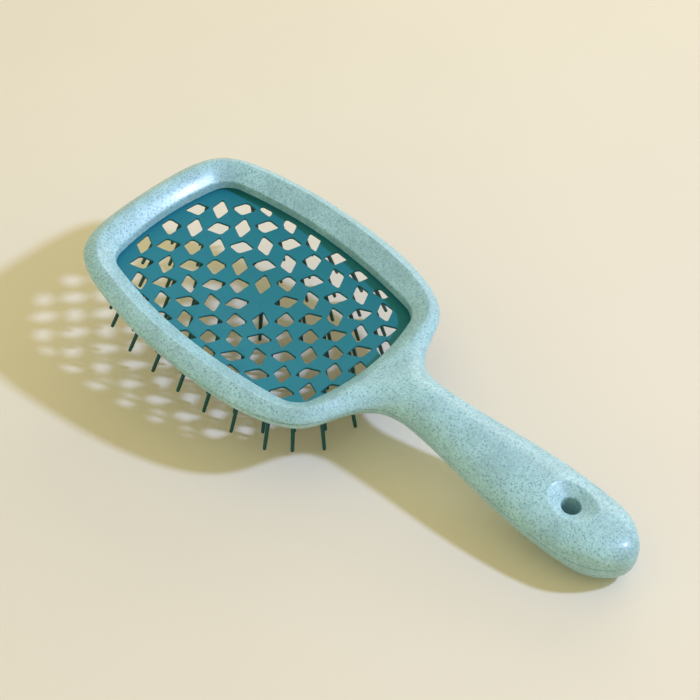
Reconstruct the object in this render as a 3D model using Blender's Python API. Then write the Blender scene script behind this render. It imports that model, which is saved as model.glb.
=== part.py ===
"""Vented paddle brush: two moulded shells hold a bowed, perforated pad with splayed pins.

The brush lies back up and level. X runs from the head to the handle's end, Y across and Z up.
The origin is the tip of the middle pin. All lengths are in metres.
"""
import bpy
import bmesh
from math import cos, pi, radians, sin, sqrt
from mathutils import Vector
from mathutils.geometry import delaunay_2d_cdt

MM = 0.001

# Driving dimensions
HEAD_REACH = 58.8 * MM          # middle of the pad to the far end of the head
HEAD_HALF_WIDTH = 45.1 * MM
HANDLE_REACH = 155.4 * MM       # middle of the pad to the handle's end
NECK_REACH = 73.9 * MM          # middle of the pad to the narrowest place
NECK_HALF_WIDTH = 9.1 * MM
GRIP_HALF_WIDTH = 14.1 * MM
SIDE_BAND = 11.1 * MM           # frame beside the window, at the head's widest place
FAR_BAND = 10.8 * MM            # frame between the window and the far end
NEAR_BAND = 10.2 * MM           # the window is this much shorter than the head towards the handle
FAR_SIDE_SAG = 7.4 * MM         # how far the long edges draw in towards the far end
NEAR_SIDE_SAG = 6.2 * MM        # and towards the handle
FAR_END_SAG = 5.2 * MM          # how far the far edge draws in towards its corners
NEAR_END_SAG = 7.0 * MM         # and the edge at the handle
WINDOW_CORNER = 4.7 * MM        # radius of the window's corners
PIN_REACH = 19.7 * MM           # middle of the pad's thickness to the middle pin's tip
PAD_BOW = 4.5 * MM              # the pad's middle hangs this far under its rim
PAD_THICKNESS = 1.8 * MM
BACKING_THICKNESS = 0.5 * MM    # lower slice of the pad that the pins stand on
PAD_RIM = 2.6 * MM              # width of the rim that the shells hold
SHELL_WALL = 2.0 * MM
PART_GAP = 0.3 * MM             # clearance between pieces that meet

# Shape of the back shell
SEAM_RISE = 9.5 * MM            # seam above the middle of the pad's thickness
CREST_RISE = 4.0 * MM           # highest line of the head above the seam
CREST_RUN = 3.6 * MM            # outer edge to that height
CREST_ROUND = 0.5 * MM          # softness of the line where the band meets the crown
SADDLE_DIP = 1.8 * MM           # the crown is this much lower before the handle
BAND_SLOPE_SHARE = 0.5          # rise of the inward sloping band over its run
EDGE_BELOW = 0.5 * MM           # the band ends this far below the seam at the window
EDGE_ROUND = 0.8 * MM           # rounding at the window's edge
EDGE_DROP = 0.6 * MM
GRIP_RISE = 6.5 * MM            # crown of the handle above the seam

# Shape of the front shell
BELLY_DROP = 5.8 * MM
BELLY_RUN = 6.4 * MM
LIP_DROP = 3.2 * MM             # the lip round the pad hangs this far under the belly
LIP_RUN = 8.0 * MM              # window's edge to where the lip has died out
FRONT_WINDOW_EXTRA = 1.6 * MM   # the front opening is this much wider all round
NECK_DROP = 7.0 * MM            # underside of the neck below the seam
GRIP_DROP = 10.4 * MM           # and of the handle where it is widest

# Hang hole
HOLE_RADIUS = 3.5 * MM
HOLE_INSET = 25.4 * MM          # handle's end to the hole's axis
DISH_RADIUS = 7.2 * MM
DISH_DEPTH = 1.9 * MM

# Pad lattice: holes and pins share one chequered lattice
LATTICE_X = 5.6 * MM            # half the step between the holes of one row
LATTICE_Y = 6.27 * MM           # step between rows
HOLE_HALF_X = 2.35 * MM
HOLE_HALF_Y = 2.5 * MM
HOLE_SKEW = 1.15 * MM           # a hole's upper edge is shifted this far against its middle
HOLE_FLARE = 0.6 * MM           # extra half width of a middle-row hole towards the pad's middle
HOLE_MARGIN = 0.6 * MM          # least strip between a hole and the frame
BACKING_INSET = 0.2 * MM        # the pins' backing ends this far inside the window's edge
PIN_ROOT_RADIUS = 0.85 * MM
PIN_TIP_RADIUS = 0.6 * MM
PIN_NOSE = 0.5 * MM             # length of the blunted nose
PIN_MARGIN = 1.3 * MM           # least distance of a pin's axis from the window's edge
END_SPLAY_SHARE = 0.27          # outward slope of a pin against the pad, were it at the head's end
SIDE_SPLAY_SHARE = 0.29         # and were it at the head's side

# Locating pegs and their sockets
PEG_RADIUS = 1.2 * MM
PEG_CLEARANCE = 0.35 * MM
SOCKET_WALL = 0.9 * MM
PEG_OVERLAP = 3.0 * MM          # depth of a peg in its socket
PEG_SINK = 0.5 * MM             # a peg or socket starts this deep in its shell's wall
PEG_INSET = 9.0 * MM            # dish round the hang hole to a peg's axis
PEG_EDGE = 4.2 * MM             # head's outer edge to a peg's axis
PEG_SHARE = 0.5                 # share of the window's reach to the pegs beside it

# Outline shares
# Head: share of the head's reach, share of its half width
HEAD_SHARES = ((-1.0, 0.0), (-0.996, 0.22), (-0.982, 0.43), (-0.948, 0.61), (-0.885, 0.74),
               (-0.77, 0.838), (-0.62, 0.9), (-0.476, 0.94), (-0.24, 0.985), (0.05, 1.0),
               (0.286, 0.993), (0.476, 0.963), (0.667, 0.897), (0.81, 0.797), (0.886, 0.683),
               (0.933, 0.547))
# Shoulder: share of the way to the neck, share of the width still to lose
SHOULDER_SHARES = ((0.118, 0.65), (0.265, 0.364), (0.47, 0.127), (0.76, 0.015))
# Grip: share of the handle behind the neck, share of the swell
GRIP_SHARES = ((0.0, 0.0), (0.124, 0.15), (0.261, 0.43), (0.399, 0.72), (0.536, 0.935),
               (0.674, 1.0), (0.777, 0.92))
# Handle's end: share of the handle behind the neck, share of the grip's half width
END_SHARES = ((0.867, 0.83), (0.932, 0.61), (0.98, 0.32), (1.0, 0.0))

# Lines that the skins are laid on, as shares of the way from an edge to the full height
CREST_LINE_SHARES = (0.07, 0.25, 0.55, 1.0)
BELLY_LINE_SHARES = (0.06, 0.25, 0.55, 0.9)
EDGE_LINE_SHARES = (0.3, 1.0)
CROWN_SHARE = 0.5               # share of the handle's half width to the line beside its crown
LEAST_HOLE_SHARE = 0.3          # a hole that the frame leaves less of isn't cut
PIN_ROOM_SHARE = 0.75           # share of the pin's margin that a pin in a corner keeps
NOSE_SHARE = 0.6                # pin's end face against its tip
UPRIGHT_SHARES = (2.5, 1.2)     # columns to rows past which a hole stands upright: even rows, odd rows
SADDLE_SHARE = 0.8              # share of the window's half width over which the dip dies out
SHARP_ANGLE = radians(40)

OUTLINE_COUNT = 132
WINDOW_COUNT = 96
BORE_SIDES = 24
PEG_SIDES = 12
PIN_SIDES = 4

# Window
WINDOW_HALF_WIDTH = HEAD_HALF_WIDTH - SIDE_BAND
WINDOW_FAR_REACH = HEAD_REACH - FAR_BAND        # from the middle of the pad
WINDOW_NEAR_REACH = HEAD_REACH - NEAR_BAND
ROWS = int(WINDOW_HALF_WIDTH / LATTICE_Y)       # on each side of the middle one
COLUMNS = int(WINDOW_NEAR_REACH / LATTICE_X)

# Heights
SEAM_Z = PIN_REACH + SEAM_RISE
RIM_Z = PIN_REACH + PAD_BOW                     # middle of the rim's thickness
SKIRT_Z = RIM_Z + PAD_THICKNESS / 2 + PART_GAP  # the back shell ends here on the pad's rim
LEDGE_Z = RIM_Z - PAD_THICKNESS / 2 - PART_GAP  # the front shell carries the rim here
HOLE_X = HANDLE_REACH - HOLE_INSET


def smooth_closed(points, count):
    """Even points along a smooth closed curve through the given ones."""
    fine = []
    total = len(points)
    for i in range(total):
        before, here = points[i - 1], points[i]
        after, beyond = points[(i + 1) % total], points[(i + 2) % total]
        for step in range(8):
            t = step / 8
            weights = ((2 * t * t - t - t ** 3) / 2, (3 * t ** 3 - 5 * t * t + 2) / 2,
                       (4 * t * t + t - 3 * t ** 3) / 2, (t ** 3 - t * t) / 2)
            fine.append(tuple(sum(w * p[axis] for w, p in zip(weights, (before, here, after, beyond)))
                              for axis in (0, 1)))
    fine.append(fine[0])
    run = [0.0]
    for a, b in zip(fine, fine[1:]):
        run.append(run[-1] + sqrt((b[0] - a[0]) ** 2 + (b[1] - a[1]) ** 2))
    even, at = [], 0
    for i in range(count):
        goal = run[-1] * i / count
        while run[at + 1] < goal:
            at += 1
        t = (goal - run[at]) / (run[at + 1] - run[at])
        even.append(tuple(fine[at][axis] + t * (fine[at + 1][axis] - fine[at][axis]) for axis in (0, 1)))
    return even


def inset(points, distance):
    """Move a clockwise or anticlockwise loop inwards by a distance; outwards if negative."""
    area = sum(a[0] * b[1] - b[0] * a[1] for a, b in zip(points, points[1:] + points[:1]))
    turn = 1 if area > 0 else -1
    moved = []
    for i, (x, y) in enumerate(points):
        ax, ay = points[i - 1]
        bx, by = points[(i + 1) % len(points)]
        length = sqrt((bx - ax) ** 2 + (by - ay) ** 2)
        moved.append((x - turn * distance * (by - ay) / length, y + turn * distance * (bx - ax) / length))
    return moved


def distance_to(points, x, y):
    """Distance from a place to a closed loop."""
    best = None
    for (ax, ay), (bx, by) in zip(points, points[1:] + points[:1]):
        ex, ey = bx - ax, by - ay
        t = ((x - ax) * ex + (y - ay) * ey) / (ex * ex + ey * ey)
        t = min(max(t, 0.0), 1.0)
        gap = (x - ax - t * ex) ** 2 + (y - ay - t * ey) ** 2
        best = gap if best is None or gap < best else best
    return sqrt(best)


def inside(points, x, y):
    """Whether a place lies inside a closed loop."""
    found = False
    for (ax, ay), (bx, by) in zip(points, points[1:] + points[:1]):
        if (ay > y) != (by > y) and x < ax + (y - ay) * (bx - ax) / (by - ay):
            found = not found
    return found


def ease(t):
    """Smooth step from 0 to 1."""
    t = min(max(t, 0.0), 1.0)
    return t * t * (3 - 2 * t)


def rounded(t):
    """Quarter ellipse from 0 to 1."""
    t = min(max(t, 0.0), 1.0)
    return sqrt(1 - (1 - t) ** 2)


def half_outline():
    """One side of the brush's outline, from the far end to the handle's end."""
    side = [(HEAD_REACH * sx, HEAD_HALF_WIDTH * sy) for sx, sy in HEAD_SHARES]
    corner_x, corner_y = side[-1]
    for along, left in SHOULDER_SHARES:
        side.append((corner_x + along * (NECK_REACH - corner_x),
                     NECK_HALF_WIDTH + left * (corner_y - NECK_HALF_WIDTH)))
    behind = HANDLE_REACH - NECK_REACH
    for along, swell in GRIP_SHARES:
        side.append((NECK_REACH + along * behind,
                     NECK_HALF_WIDTH + swell * (GRIP_HALF_WIDTH - NECK_HALF_WIDTH)))
    for along, width in END_SHARES:
        side.append((NECK_REACH + along * behind, width * GRIP_HALF_WIDTH))
    return side


SIDE = half_outline()
OUTLINE = smooth_closed([(x, -y) for x, y in SIDE] + [(x, y) for x, y in reversed(SIDE[1:-1])], OUTLINE_COUNT)


def window_limits(x, y):
    """Half width of the window at x, and its two ends at y."""
    reach, side_sag = (WINDOW_FAR_REACH, FAR_SIDE_SAG) if x < 0 else (WINDOW_NEAR_REACH, NEAR_SIDE_SAG)
    half = WINDOW_HALF_WIDTH - side_sag * (x / reach) ** 2
    bow = (y / WINDOW_HALF_WIDTH) ** 2
    return half, WINDOW_FAR_REACH - FAR_END_SAG * bow, WINDOW_NEAR_REACH - NEAR_END_SAG * bow


def past_window(x, y):
    """Whether a place lies outside the window's bowed sides and round corners."""
    half, far, near = window_limits(x, y)
    over_x = abs(x) - (near if x > 0 else far) + WINDOW_CORNER
    over_y = abs(y) - half + WINDOW_CORNER
    return sqrt(max(over_x, 0.0) ** 2 + max(over_y, 0.0) ** 2) > WINDOW_CORNER


def window_loop(count):
    """The window's edge."""
    loop = []
    for i in range(count):
        angle = 2 * pi * i / count
        low, high = 0.0, WINDOW_FAR_REACH + WINDOW_NEAR_REACH
        for _ in range(40):
            middle = (low + high) / 2
            out = past_window(middle * cos(angle), middle * sin(angle))
            low, high = (low, middle) if out else (middle, high)
        loop.append((low * cos(angle), low * sin(angle)))
    return loop


WINDOW = window_loop(WINDOW_COUNT)


def grip_half_width(x):
    """Half width of the handle at x, held at its widest from there to the end."""
    half = NECK_HALF_WIDTH
    for (ax, ay), (bx, by) in zip(SIDE, SIDE[1:]):
        if ax >= NECK_REACH and x >= ax:
            t = min((x - ax) / (bx - ax), 1.0)
            half = max(half, ay + t * (by - ay))
    return half


def handle_share(x):
    """0 in the head, 1 in the handle, and a smooth blend between them."""
    start = WINDOW_NEAR_REACH + EDGE_ROUND
    return ease((x - start) / (NECK_REACH - start))


def back_z(x, y):
    """Height of the back shell's outer face."""
    edge, window = distance_to(OUTLINE, x, y), distance_to(WINDOW, x, y)
    if inside(WINDOW, x, y):
        window = 0.0
    dip = SADDLE_DIP * (1 - ease(abs(y) / (SADDLE_SHARE * WINDOW_HALF_WIDTH))) if x > 0 else 0.0
    head = (CREST_RISE - dip) * rounded(edge / CREST_RUN)
    grip = GRIP_RISE * rounded(edge / grip_half_width(x))
    share = handle_share(x)
    crown = (1 - share) * head + share * grip
    band = BAND_SLOPE_SHARE * window - EDGE_BELOW - EDGE_DROP * (1 - rounded(window / EDGE_ROUND))
    height = (crown + band - sqrt((crown - band) ** 2 + CREST_ROUND ** 2)) / 2
    height += CREST_ROUND / 2 * (1 - rounded(edge / CREST_RUN))
    return SEAM_Z + min(height, dish_z(x, y) - SEAM_Z)


def dish_z(x, y):
    """Height of the cone that is sunk round the hang hole, in the back."""
    out = sqrt((x - HOLE_X) ** 2 + y * y)
    slope = DISH_DEPTH / (DISH_RADIUS - HOLE_RADIUS)
    return SEAM_Z + GRIP_RISE - DISH_DEPTH + (out - HOLE_RADIUS) * slope


def front_z(x, y):
    """Height of the front shell's outer face."""
    edge, window = distance_to(OUTLINE, x, y), distance_to(WINDOW, x, y)
    lip = ease((LIP_RUN - window) / LIP_RUN)
    head = BELLY_DROP * rounded(edge / BELLY_RUN) + LIP_DROP * lip
    half = grip_half_width(x)
    swell = (half - NECK_HALF_WIDTH) / (GRIP_HALF_WIDTH - NECK_HALF_WIDTH)
    grip = (NECK_DROP + swell * (GRIP_DROP - NECK_DROP)) * rounded(edge / half)
    share = handle_share(x)
    return SEAM_Z - PART_GAP - (1 - share) * head - share * grip


def circle(x, y, radius, count):
    """Points of a circle."""
    return [(x + radius * cos(2 * pi * i / count), y + radius * sin(2 * pi * i / count))
            for i in range(count)]


def lay_skin(bm, outer, holes, lines, spots, height):
    """Triangulate the region inside outer and outside holes, and lift it to height(x, y).

    Returns the vertices of outer and of each hole, in order.
    """
    loops = [outer] + holes + lines
    places, edges = [], []
    for loop in loops:
        first = len(places)
        places += loop
        edges += [(first + i, first + (i + 1) % len(loop)) for i in range(len(loop))]
    places += spots
    made = delaunay_2d_cdt([Vector(p) for p in places], edges, [], 0, 1e-7)
    corners, faces, sources = made[0], made[2], made[3]
    verts = {}
    for face in faces:
        x = sum(corners[i][0] for i in face) / len(face)
        y = sum(corners[i][1] for i in face) / len(face)
        if not inside(outer, x, y) or any(inside(hole, x, y) for hole in holes):
            continue
        for i in face:
            if i not in verts:
                px, py = corners[i][0], corners[i][1]
                verts[i] = bm.verts.new((px, py, height(px, py)))
        bm.faces.new([verts[i] for i in face])
    found = {}
    for i, origin in enumerate(sources):
        for source in origin:
            if i in verts:
                found[source] = verts[i]
    rims, first = [], 0
    for loop in [outer] + holes:
        rims.append([found[first + i] for i in range(len(loop))])
        first += len(loop)
    return rims


def ring_at(bm, points, z):
    """New vertices round a loop at one height."""
    return [bm.verts.new((x, y, z)) for x, y in points]


def bridge(bm, a, b):
    """Faces between two rings of as many vertices."""
    for i in range(len(a)):
        j = (i + 1) % len(a)
        bm.faces.new((a[i], a[j], b[j], b[i]))


def finish(name, bm, colour, roughness):
    """Make an object from a closed bmesh, with faces out and its own material."""
    bmesh.ops.recalc_face_normals(bm, faces=bm.faces)
    mesh = bpy.data.meshes.new(name)
    bm.to_mesh(mesh)
    bm.free()
    mesh.shade_smooth()
    mesh.set_sharp_from_angle(angle=SHARP_ANGLE)
    material = bpy.data.materials.new(name + "_finish")
    material.use_nodes = True
    shader = material.node_tree.nodes["Principled BSDF"]
    shader.inputs["Base Color"].default_value = (*colour, 1.0)
    shader.inputs["Roughness"].default_value = roughness
    shader.inputs["Metallic"].default_value = 0.0
    mesh.materials.append(material)
    made = bpy.data.objects.new(name, mesh)
    bpy.context.scene.collection.objects.link(made)
    return made


def handle_spots(step):
    """Places inside the handle that carry its crown."""
    spots, x = [], WINDOW_NEAR_REACH + LIP_RUN
    while x < HANDLE_REACH - GRIP_HALF_WIDTH / 2:
        half = grip_half_width(x)
        for share in (-CROWN_SHARE, 0.0, CROWN_SHARE):
            y = share * half
            if sqrt((x - HOLE_X) ** 2 + y * y) > DISH_RADIUS + HOLE_RADIUS / 2 + step / 2:
                spots.append((x, y))
        x += step
    return spots


def cylinder(x, y, bottom, top, radius, sides):
    """A closed cylinder as a bmesh."""
    bm = bmesh.new()
    low, high = ring_at(bm, circle(x, y, radius, sides), bottom), ring_at(bm, circle(x, y, radius, sides), top)
    bridge(bm, low, high)
    bm.faces.new(low)
    bm.faces.new(high)
    bmesh.ops.recalc_face_normals(bm, faces=bm.faces)
    return bm


def cutter(name, bm):
    """A hidden object for a Boolean."""
    mesh = bpy.data.meshes.new(name)
    bm.to_mesh(mesh)
    bm.free()
    made = bpy.data.objects.new(name, mesh)
    bpy.context.scene.collection.objects.link(made)
    made.hide_render = True
    made.display_type = "WIRE"
    return made


def combine(target, tool, operation):
    """Add a Boolean modifier to the target."""
    step = target.modifiers.new(tool.name, "BOOLEAN")
    step.operation = operation
    step.solver = "EXACT"
    step.object = tool


def outline_half_width(x):
    """Half width of the whole outline at x."""
    for (ax, ay), (bx, by) in zip(SIDE, SIDE[1:]):
        if ax <= x <= bx:
            return ay + (x - ax) / (bx - ax) * (by - ay)
    return 0.0


def peg_places():
    """Where the pegs stand: along the head's edge, in the neck and before the hang hole."""
    places = []
    for x in (-WINDOW_FAR_REACH * PEG_SHARE, WINDOW_NEAR_REACH * PEG_SHARE):
        y = outline_half_width(x) - PEG_EDGE
        places += [(x, -y), (x, y)]
    places.append((PEG_EDGE - HEAD_REACH, 0.0))
    places.append((NECK_REACH, 0.0))
    places.append((HOLE_X - DISH_RADIUS - PEG_INSET, 0.0))
    return places


def peg_top(x, y):
    """Height of a peg's end: it stays under the back shell's roof."""
    return min(SEAM_Z + PEG_OVERLAP, back_z(x, y) - SHELL_WALL - PEG_CLEARANCE)


def back_shell():
    """The visible back: a wall that rounds over and drops to the pad, hollow underneath."""
    bm = bmesh.new()
    lines = [inset(OUTLINE, CREST_RUN * share) for share in CREST_LINE_SHARES]
    lines += [inset(WINDOW, -EDGE_ROUND * share) for share in EDGE_LINE_SHARES]
    lines += [circle(HOLE_X, 0.0, radius, BORE_SIDES)
              for radius in ((HOLE_RADIUS + DISH_RADIUS) / 2, DISH_RADIUS, DISH_RADIUS + HOLE_RADIUS / 2)]
    rims = lay_skin(bm, OUTLINE, [WINDOW, circle(HOLE_X, 0.0, HOLE_RADIUS, BORE_SIDES)],
                    lines, handle_spots(GRIP_HALF_WIDTH / 3), back_z)
    outline_in, window_in = inset(OUTLINE, SHELL_WALL), inset(WINDOW, -SHELL_WALL)
    hole_in = circle(HOLE_X, 0.0, HOLE_RADIUS + SHELL_WALL, BORE_SIDES)
    inner = lay_skin(bm, outline_in, [window_in, hole_in], [inset(OUTLINE, CREST_RUN)],
                     handle_spots(GRIP_HALF_WIDTH / 2), lambda x, y: back_z(x, y) - SHELL_WALL)
    lip = ring_at(bm, outline_in, SEAM_Z)
    bridge(bm, rims[0], lip)
    bridge(bm, lip, inner[0])
    skirt_face, skirt_back = ring_at(bm, WINDOW, SKIRT_Z), ring_at(bm, window_in, SKIRT_Z)
    bridge(bm, rims[1], skirt_face)
    bridge(bm, skirt_face, skirt_back)
    bridge(bm, skirt_back, inner[1])
    sleeve_face = ring_at(bm, circle(HOLE_X, 0.0, HOLE_RADIUS, BORE_SIDES), SEAM_Z)
    sleeve_back = ring_at(bm, hole_in, SEAM_Z)
    bridge(bm, rims[2], sleeve_face)
    bridge(bm, sleeve_face, sleeve_back)
    bridge(bm, sleeve_back, inner[2])
    shell = finish("back_shell", bm, (0.40, 0.63, 0.62), 0.32)
    for number, (x, y) in enumerate(peg_places()):
        top = back_z(x, y) - SHELL_WALL + PEG_SINK
        outer = PEG_RADIUS + PEG_CLEARANCE + SOCKET_WALL
        post = cutter("socket_%d" % number, cylinder(x, y, SEAM_Z + PART_GAP, top, outer, PEG_SIDES))
        combine(shell, post, "UNION")
        bore = cutter("bore_%d" % number, cylinder(x, y, SEAM_Z - PART_GAP, peg_top(x, y) + PART_GAP,
                                                   PEG_RADIUS + PEG_CLEARANCE, PEG_SIDES))
        combine(shell, bore, "DIFFERENCE")
    return shell


def front_shell():
    """The half on the pins' side: it closes the handle and carries the pad's rim on a ledge."""
    bm = bmesh.new()
    seam = SEAM_Z - PART_GAP
    opening = inset(WINDOW, -FRONT_WINDOW_EXTRA)
    ledge_edge = inset(WINDOW, -PAD_RIM - 2 * PART_GAP)
    lines = [inset(OUTLINE, BELLY_RUN * share) for share in BELLY_LINE_SHARES]
    rims = lay_skin(bm, OUTLINE, [opening, circle(HOLE_X, 0.0, HOLE_RADIUS, BORE_SIDES)],
                    lines, handle_spots(GRIP_HALF_WIDTH / 3), front_z)
    outline_in = inset(OUTLINE, SHELL_WALL)
    hole_in = circle(HOLE_X, 0.0, HOLE_RADIUS + SHELL_WALL, BORE_SIDES)
    inner = lay_skin(bm, outline_in, [ledge_edge, hole_in], [inset(OUTLINE, CREST_RUN)],
                     handle_spots(GRIP_HALF_WIDTH / 2), lambda x, y: front_z(x, y) + SHELL_WALL)
    lip = ring_at(bm, outline_in, seam)
    bridge(bm, rims[0], lip)
    bridge(bm, lip, inner[0])
    ledge_in = ring_at(bm, opening, LEDGE_Z)
    ledge_out = ring_at(bm, ledge_edge, LEDGE_Z)
    bridge(bm, rims[1], ledge_in)
    bridge(bm, ledge_in, ledge_out)
    bridge(bm, ledge_out, inner[1])
    sleeve_face = ring_at(bm, circle(HOLE_X, 0.0, HOLE_RADIUS, BORE_SIDES), seam)
    sleeve_back = ring_at(bm, hole_in, seam)
    bridge(bm, rims[2], sleeve_face)
    bridge(bm, sleeve_face, sleeve_back)
    bridge(bm, sleeve_back, inner[2])
    shell = finish("front_shell", bm, (0.50, 0.70, 0.66), 0.35)
    for number, (x, y) in enumerate(peg_places()):
        floor = front_z(x, y) + SHELL_WALL - PEG_SINK
        peg = cutter("peg_%d" % number, cylinder(x, y, floor, peg_top(x, y), PEG_RADIUS, PEG_SIDES))
        combine(shell, peg, "UNION")
    return shell


def pad_z(x, y):
    """Middle of the pad's thickness: bowed towards the hair, and level at its rim."""
    reach = WINDOW_FAR_REACH if x < 0 else WINDOW_NEAR_REACH
    along = min((x / reach) ** 2, 1.0)
    across = min((y / WINDOW_HALF_WIDTH) ** 2, 1.0)
    return PIN_REACH + PAD_BOW * (1 - (1 - along) * (1 - across))


def hole_corners(column, row):
    """One hole of the net: odd rows lean outwards from the pad's middle, even rows inwards."""
    x, y = column * LATTICE_X, row * LATTICE_Y
    side, end = (1 if row > 0 else -1), (1 if column > 0 else -1)
    if column == 0:
        near, far = HOLE_HALF_X + HOLE_FLARE, HOLE_HALF_X - HOLE_FLARE
        up, down = (far, near) if row > 0 else (near, far)
        return [(x - down, y - HOLE_HALF_Y), (x + down, y - HOLE_HALF_Y),
                (x + up, y + HOLE_HALF_Y), (x - up, y + HOLE_HALF_Y)]
    if row == 0:
        near, far = HOLE_HALF_Y + HOLE_FLARE, HOLE_HALF_Y - HOLE_FLARE
        left, right = (near, far) if column > 0 else (far, near)
        return [(x - HOLE_HALF_X, y - left), (x + HOLE_HALF_X, y - right),
                (x + HOLE_HALF_X, y + right), (x - HOLE_HALF_X, y + left)]
    odd = row % 2 == 1
    lean = HOLE_SKEW * side * end * (1 if odd else -1)
    upright = abs(column) > UPRIGHT_SHARES[row % 2] * abs(row) or abs(column) + abs(row) == 2
    if upright:
        return [(x - HOLE_HALF_X, y - HOLE_HALF_Y - lean), (x + HOLE_HALF_X, y - HOLE_HALF_Y + lean),
                (x + HOLE_HALF_X, y + HOLE_HALF_Y + lean), (x - HOLE_HALF_X, y + HOLE_HALF_Y - lean)]
    return [(x - HOLE_HALF_X - lean, y - HOLE_HALF_Y), (x + HOLE_HALF_X - lean, y - HOLE_HALF_Y),
            (x + HOLE_HALF_X + lean, y + HOLE_HALF_Y), (x - HOLE_HALF_X + lean, y + HOLE_HALF_Y)]


def area_of(points):
    """Area of a loop."""
    return abs(sum(a[0] * b[1] - b[0] * a[1] for a, b in zip(points, points[1:] + points[:1]))) / 2


def trimmed(points, limit):
    """The part of a convex loop inside a convex loop."""
    kept = list(points)
    for (ax, ay), (bx, by) in zip(limit, limit[1:] + limit[:1]):
        result = []
        for (px, py), (qx, qy) in zip(kept, kept[1:] + kept[:1]):
            p_in = (bx - ax) * (py - ay) - (by - ay) * (px - ax)
            q_in = (bx - ax) * (qy - ay) - (by - ay) * (qx - ax)
            if p_in >= 0:
                result.append((px, py))
            if (p_in >= 0) != (q_in >= 0):
                t = p_in / (p_in - q_in)
                result.append((px + t * (qx - px), py + t * (qy - py)))
        kept = result
        if not kept:
            break
    return kept


def net_holes():
    """All holes of the net, cut short where the frame covers them."""
    limit = inset(WINDOW, HOLE_MARGIN)
    whole = 4 * HOLE_HALF_X * HOLE_HALF_Y
    holes = []
    for row in range(-ROWS, ROWS + 1):
        for column in range(-COLUMNS - 1, COLUMNS + 2):
            if (row + column) % 2 or (row == 0 and column == 0):
                continue
            hole = trimmed(hole_corners(column, row), limit)
            if len(hole) > 2 and area_of(hole) > LEAST_HOLE_SHARE * whole:
                hole = [p for i, p in enumerate(hole)
                        if sqrt((p[0] - hole[i - 1][0]) ** 2 + (p[1] - hole[i - 1][1]) ** 2) > HOLE_MARGIN / 4]
                holes.append(hole)
    return holes


def pad_net():
    """The perforated pad with the rim that the shells hold; its underside is recessed for the pins' backing."""
    bm = bmesh.new()
    outer, recess = inset(WINDOW, -PAD_RIM), inset(WINDOW, BACKING_INSET - PART_GAP)
    holes = net_holes()
    top = lay_skin(bm, outer, holes, [], [(0.0, 0.0)], lambda x, y: pad_z(x, y) + PAD_THICKNESS / 2)
    under = lay_skin(bm, recess, holes, [], [(0.0, 0.0)],
                     lambda x, y: backing_z(x, y) + BACKING_THICKNESS + PART_GAP)
    rim = lay_skin(bm, outer, [recess], [], [], backing_z)
    bridge(bm, top[0], rim[0])
    bridge(bm, rim[1], under[0])
    for upper, lower in zip(top[1:], under[1:]):
        bridge(bm, upper, lower)
    return finish("pad_net", bm, (0.015, 0.21, 0.28), 0.42)


def pin_places():
    """Roots of the pins: the solid knots of the net, and its middle."""
    places = [(0.0, 0.0)]
    for row in range(-ROWS, ROWS + 1):
        for column in range(-COLUMNS, COLUMNS + 1):
            if (row + column) % 2 == 0:
                continue
            x, y = column * LATTICE_X, row * LATTICE_Y
            side_room = window_limits(x, 0.0)[0] - PIN_MARGIN
            if abs(y) > side_room + LATTICE_Y / 2:
                continue
            y = min(max(y, -side_room), side_room)
            _, far, near = window_limits(x, y)
            x = min(max(x, PIN_MARGIN - far), near - PIN_MARGIN)
            if inside(WINDOW, x, y) and distance_to(WINDOW, x, y) > PIN_MARGIN * PIN_ROOM_SHARE:
                places.append((x, y))
    return places


def pin_axis(x, y):
    """Direction of a pin: square to the bowed pad, and splayed outwards a little more."""
    reach = WINDOW_FAR_REACH if x < 0 else WINDOW_NEAR_REACH
    along, across = x / reach, y / WINDOW_HALF_WIDTH
    slope_x = 2 * PAD_BOW * along / reach * max(1 - across ** 2, 0.0)
    slope_y = 2 * PAD_BOW * across / WINDOW_HALF_WIDTH * max(1 - along ** 2, 0.0)
    return Vector((slope_x + END_SPLAY_SHARE * x / HEAD_REACH,
                   slope_y + SIDE_SPLAY_SHARE * y / HEAD_HALF_WIDTH, -1.0)).normalized()


def pin_bed():
    """All the pins on the thin lower slice of the pad that they are moulded with."""
    bm = bmesh.new()
    outer = inset(WINDOW, BACKING_INSET)
    holes = net_holes()
    places = pin_places()
    roots = [circle_of_pin(x, y, PIN_ROOT_RADIUS) for x, y in places]
    top = lay_skin(bm, outer, holes, [], [], lambda x, y: backing_z(x, y) + BACKING_THICKNESS)
    bottom = lay_skin(bm, outer, holes + roots, [], [], backing_z)
    for upper, lower in zip(top, bottom):
        bridge(bm, upper, lower)
    for (x, y), ring in zip(places, bottom[len(top):]):
        axis = pin_axis(x, y)
        heart = Vector((x, y, pad_z(x, y)))
        for reach, radius in ((PIN_REACH - PIN_NOSE, PIN_TIP_RADIUS), (PIN_REACH, PIN_TIP_RADIUS * NOSE_SHARE)):
            middle = heart + axis * reach
            following = [bm.verts.new((px, py, middle.z))
                         for px, py in circle_of_pin(middle.x, middle.y, radius)]
            bridge(bm, ring, following)
            ring = following
        bm.faces.new(ring)
    return finish("pin_bed", bm, (0.012, 0.11, 0.12), 0.45)


def backing_z(x, y):
    """Underside of the pins' backing."""
    return pad_z(x, y) - PAD_THICKNESS / 2


def circle_of_pin(x, y, radius):
    """Corners of a pin's section."""
    return [(x + radius * cos(2 * pi * (i + 0.5) / PIN_SIDES), y + radius * sin(2 * pi * (i + 0.5) / PIN_SIDES))
            for i in range(PIN_SIDES)]


def main():
    """Clear the scene and build the brush."""
    for old in list(bpy.data.objects):
        bpy.data.objects.remove(old)
    back_shell()
    front_shell()
    pad_net()
    pin_bed()


main()
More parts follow.
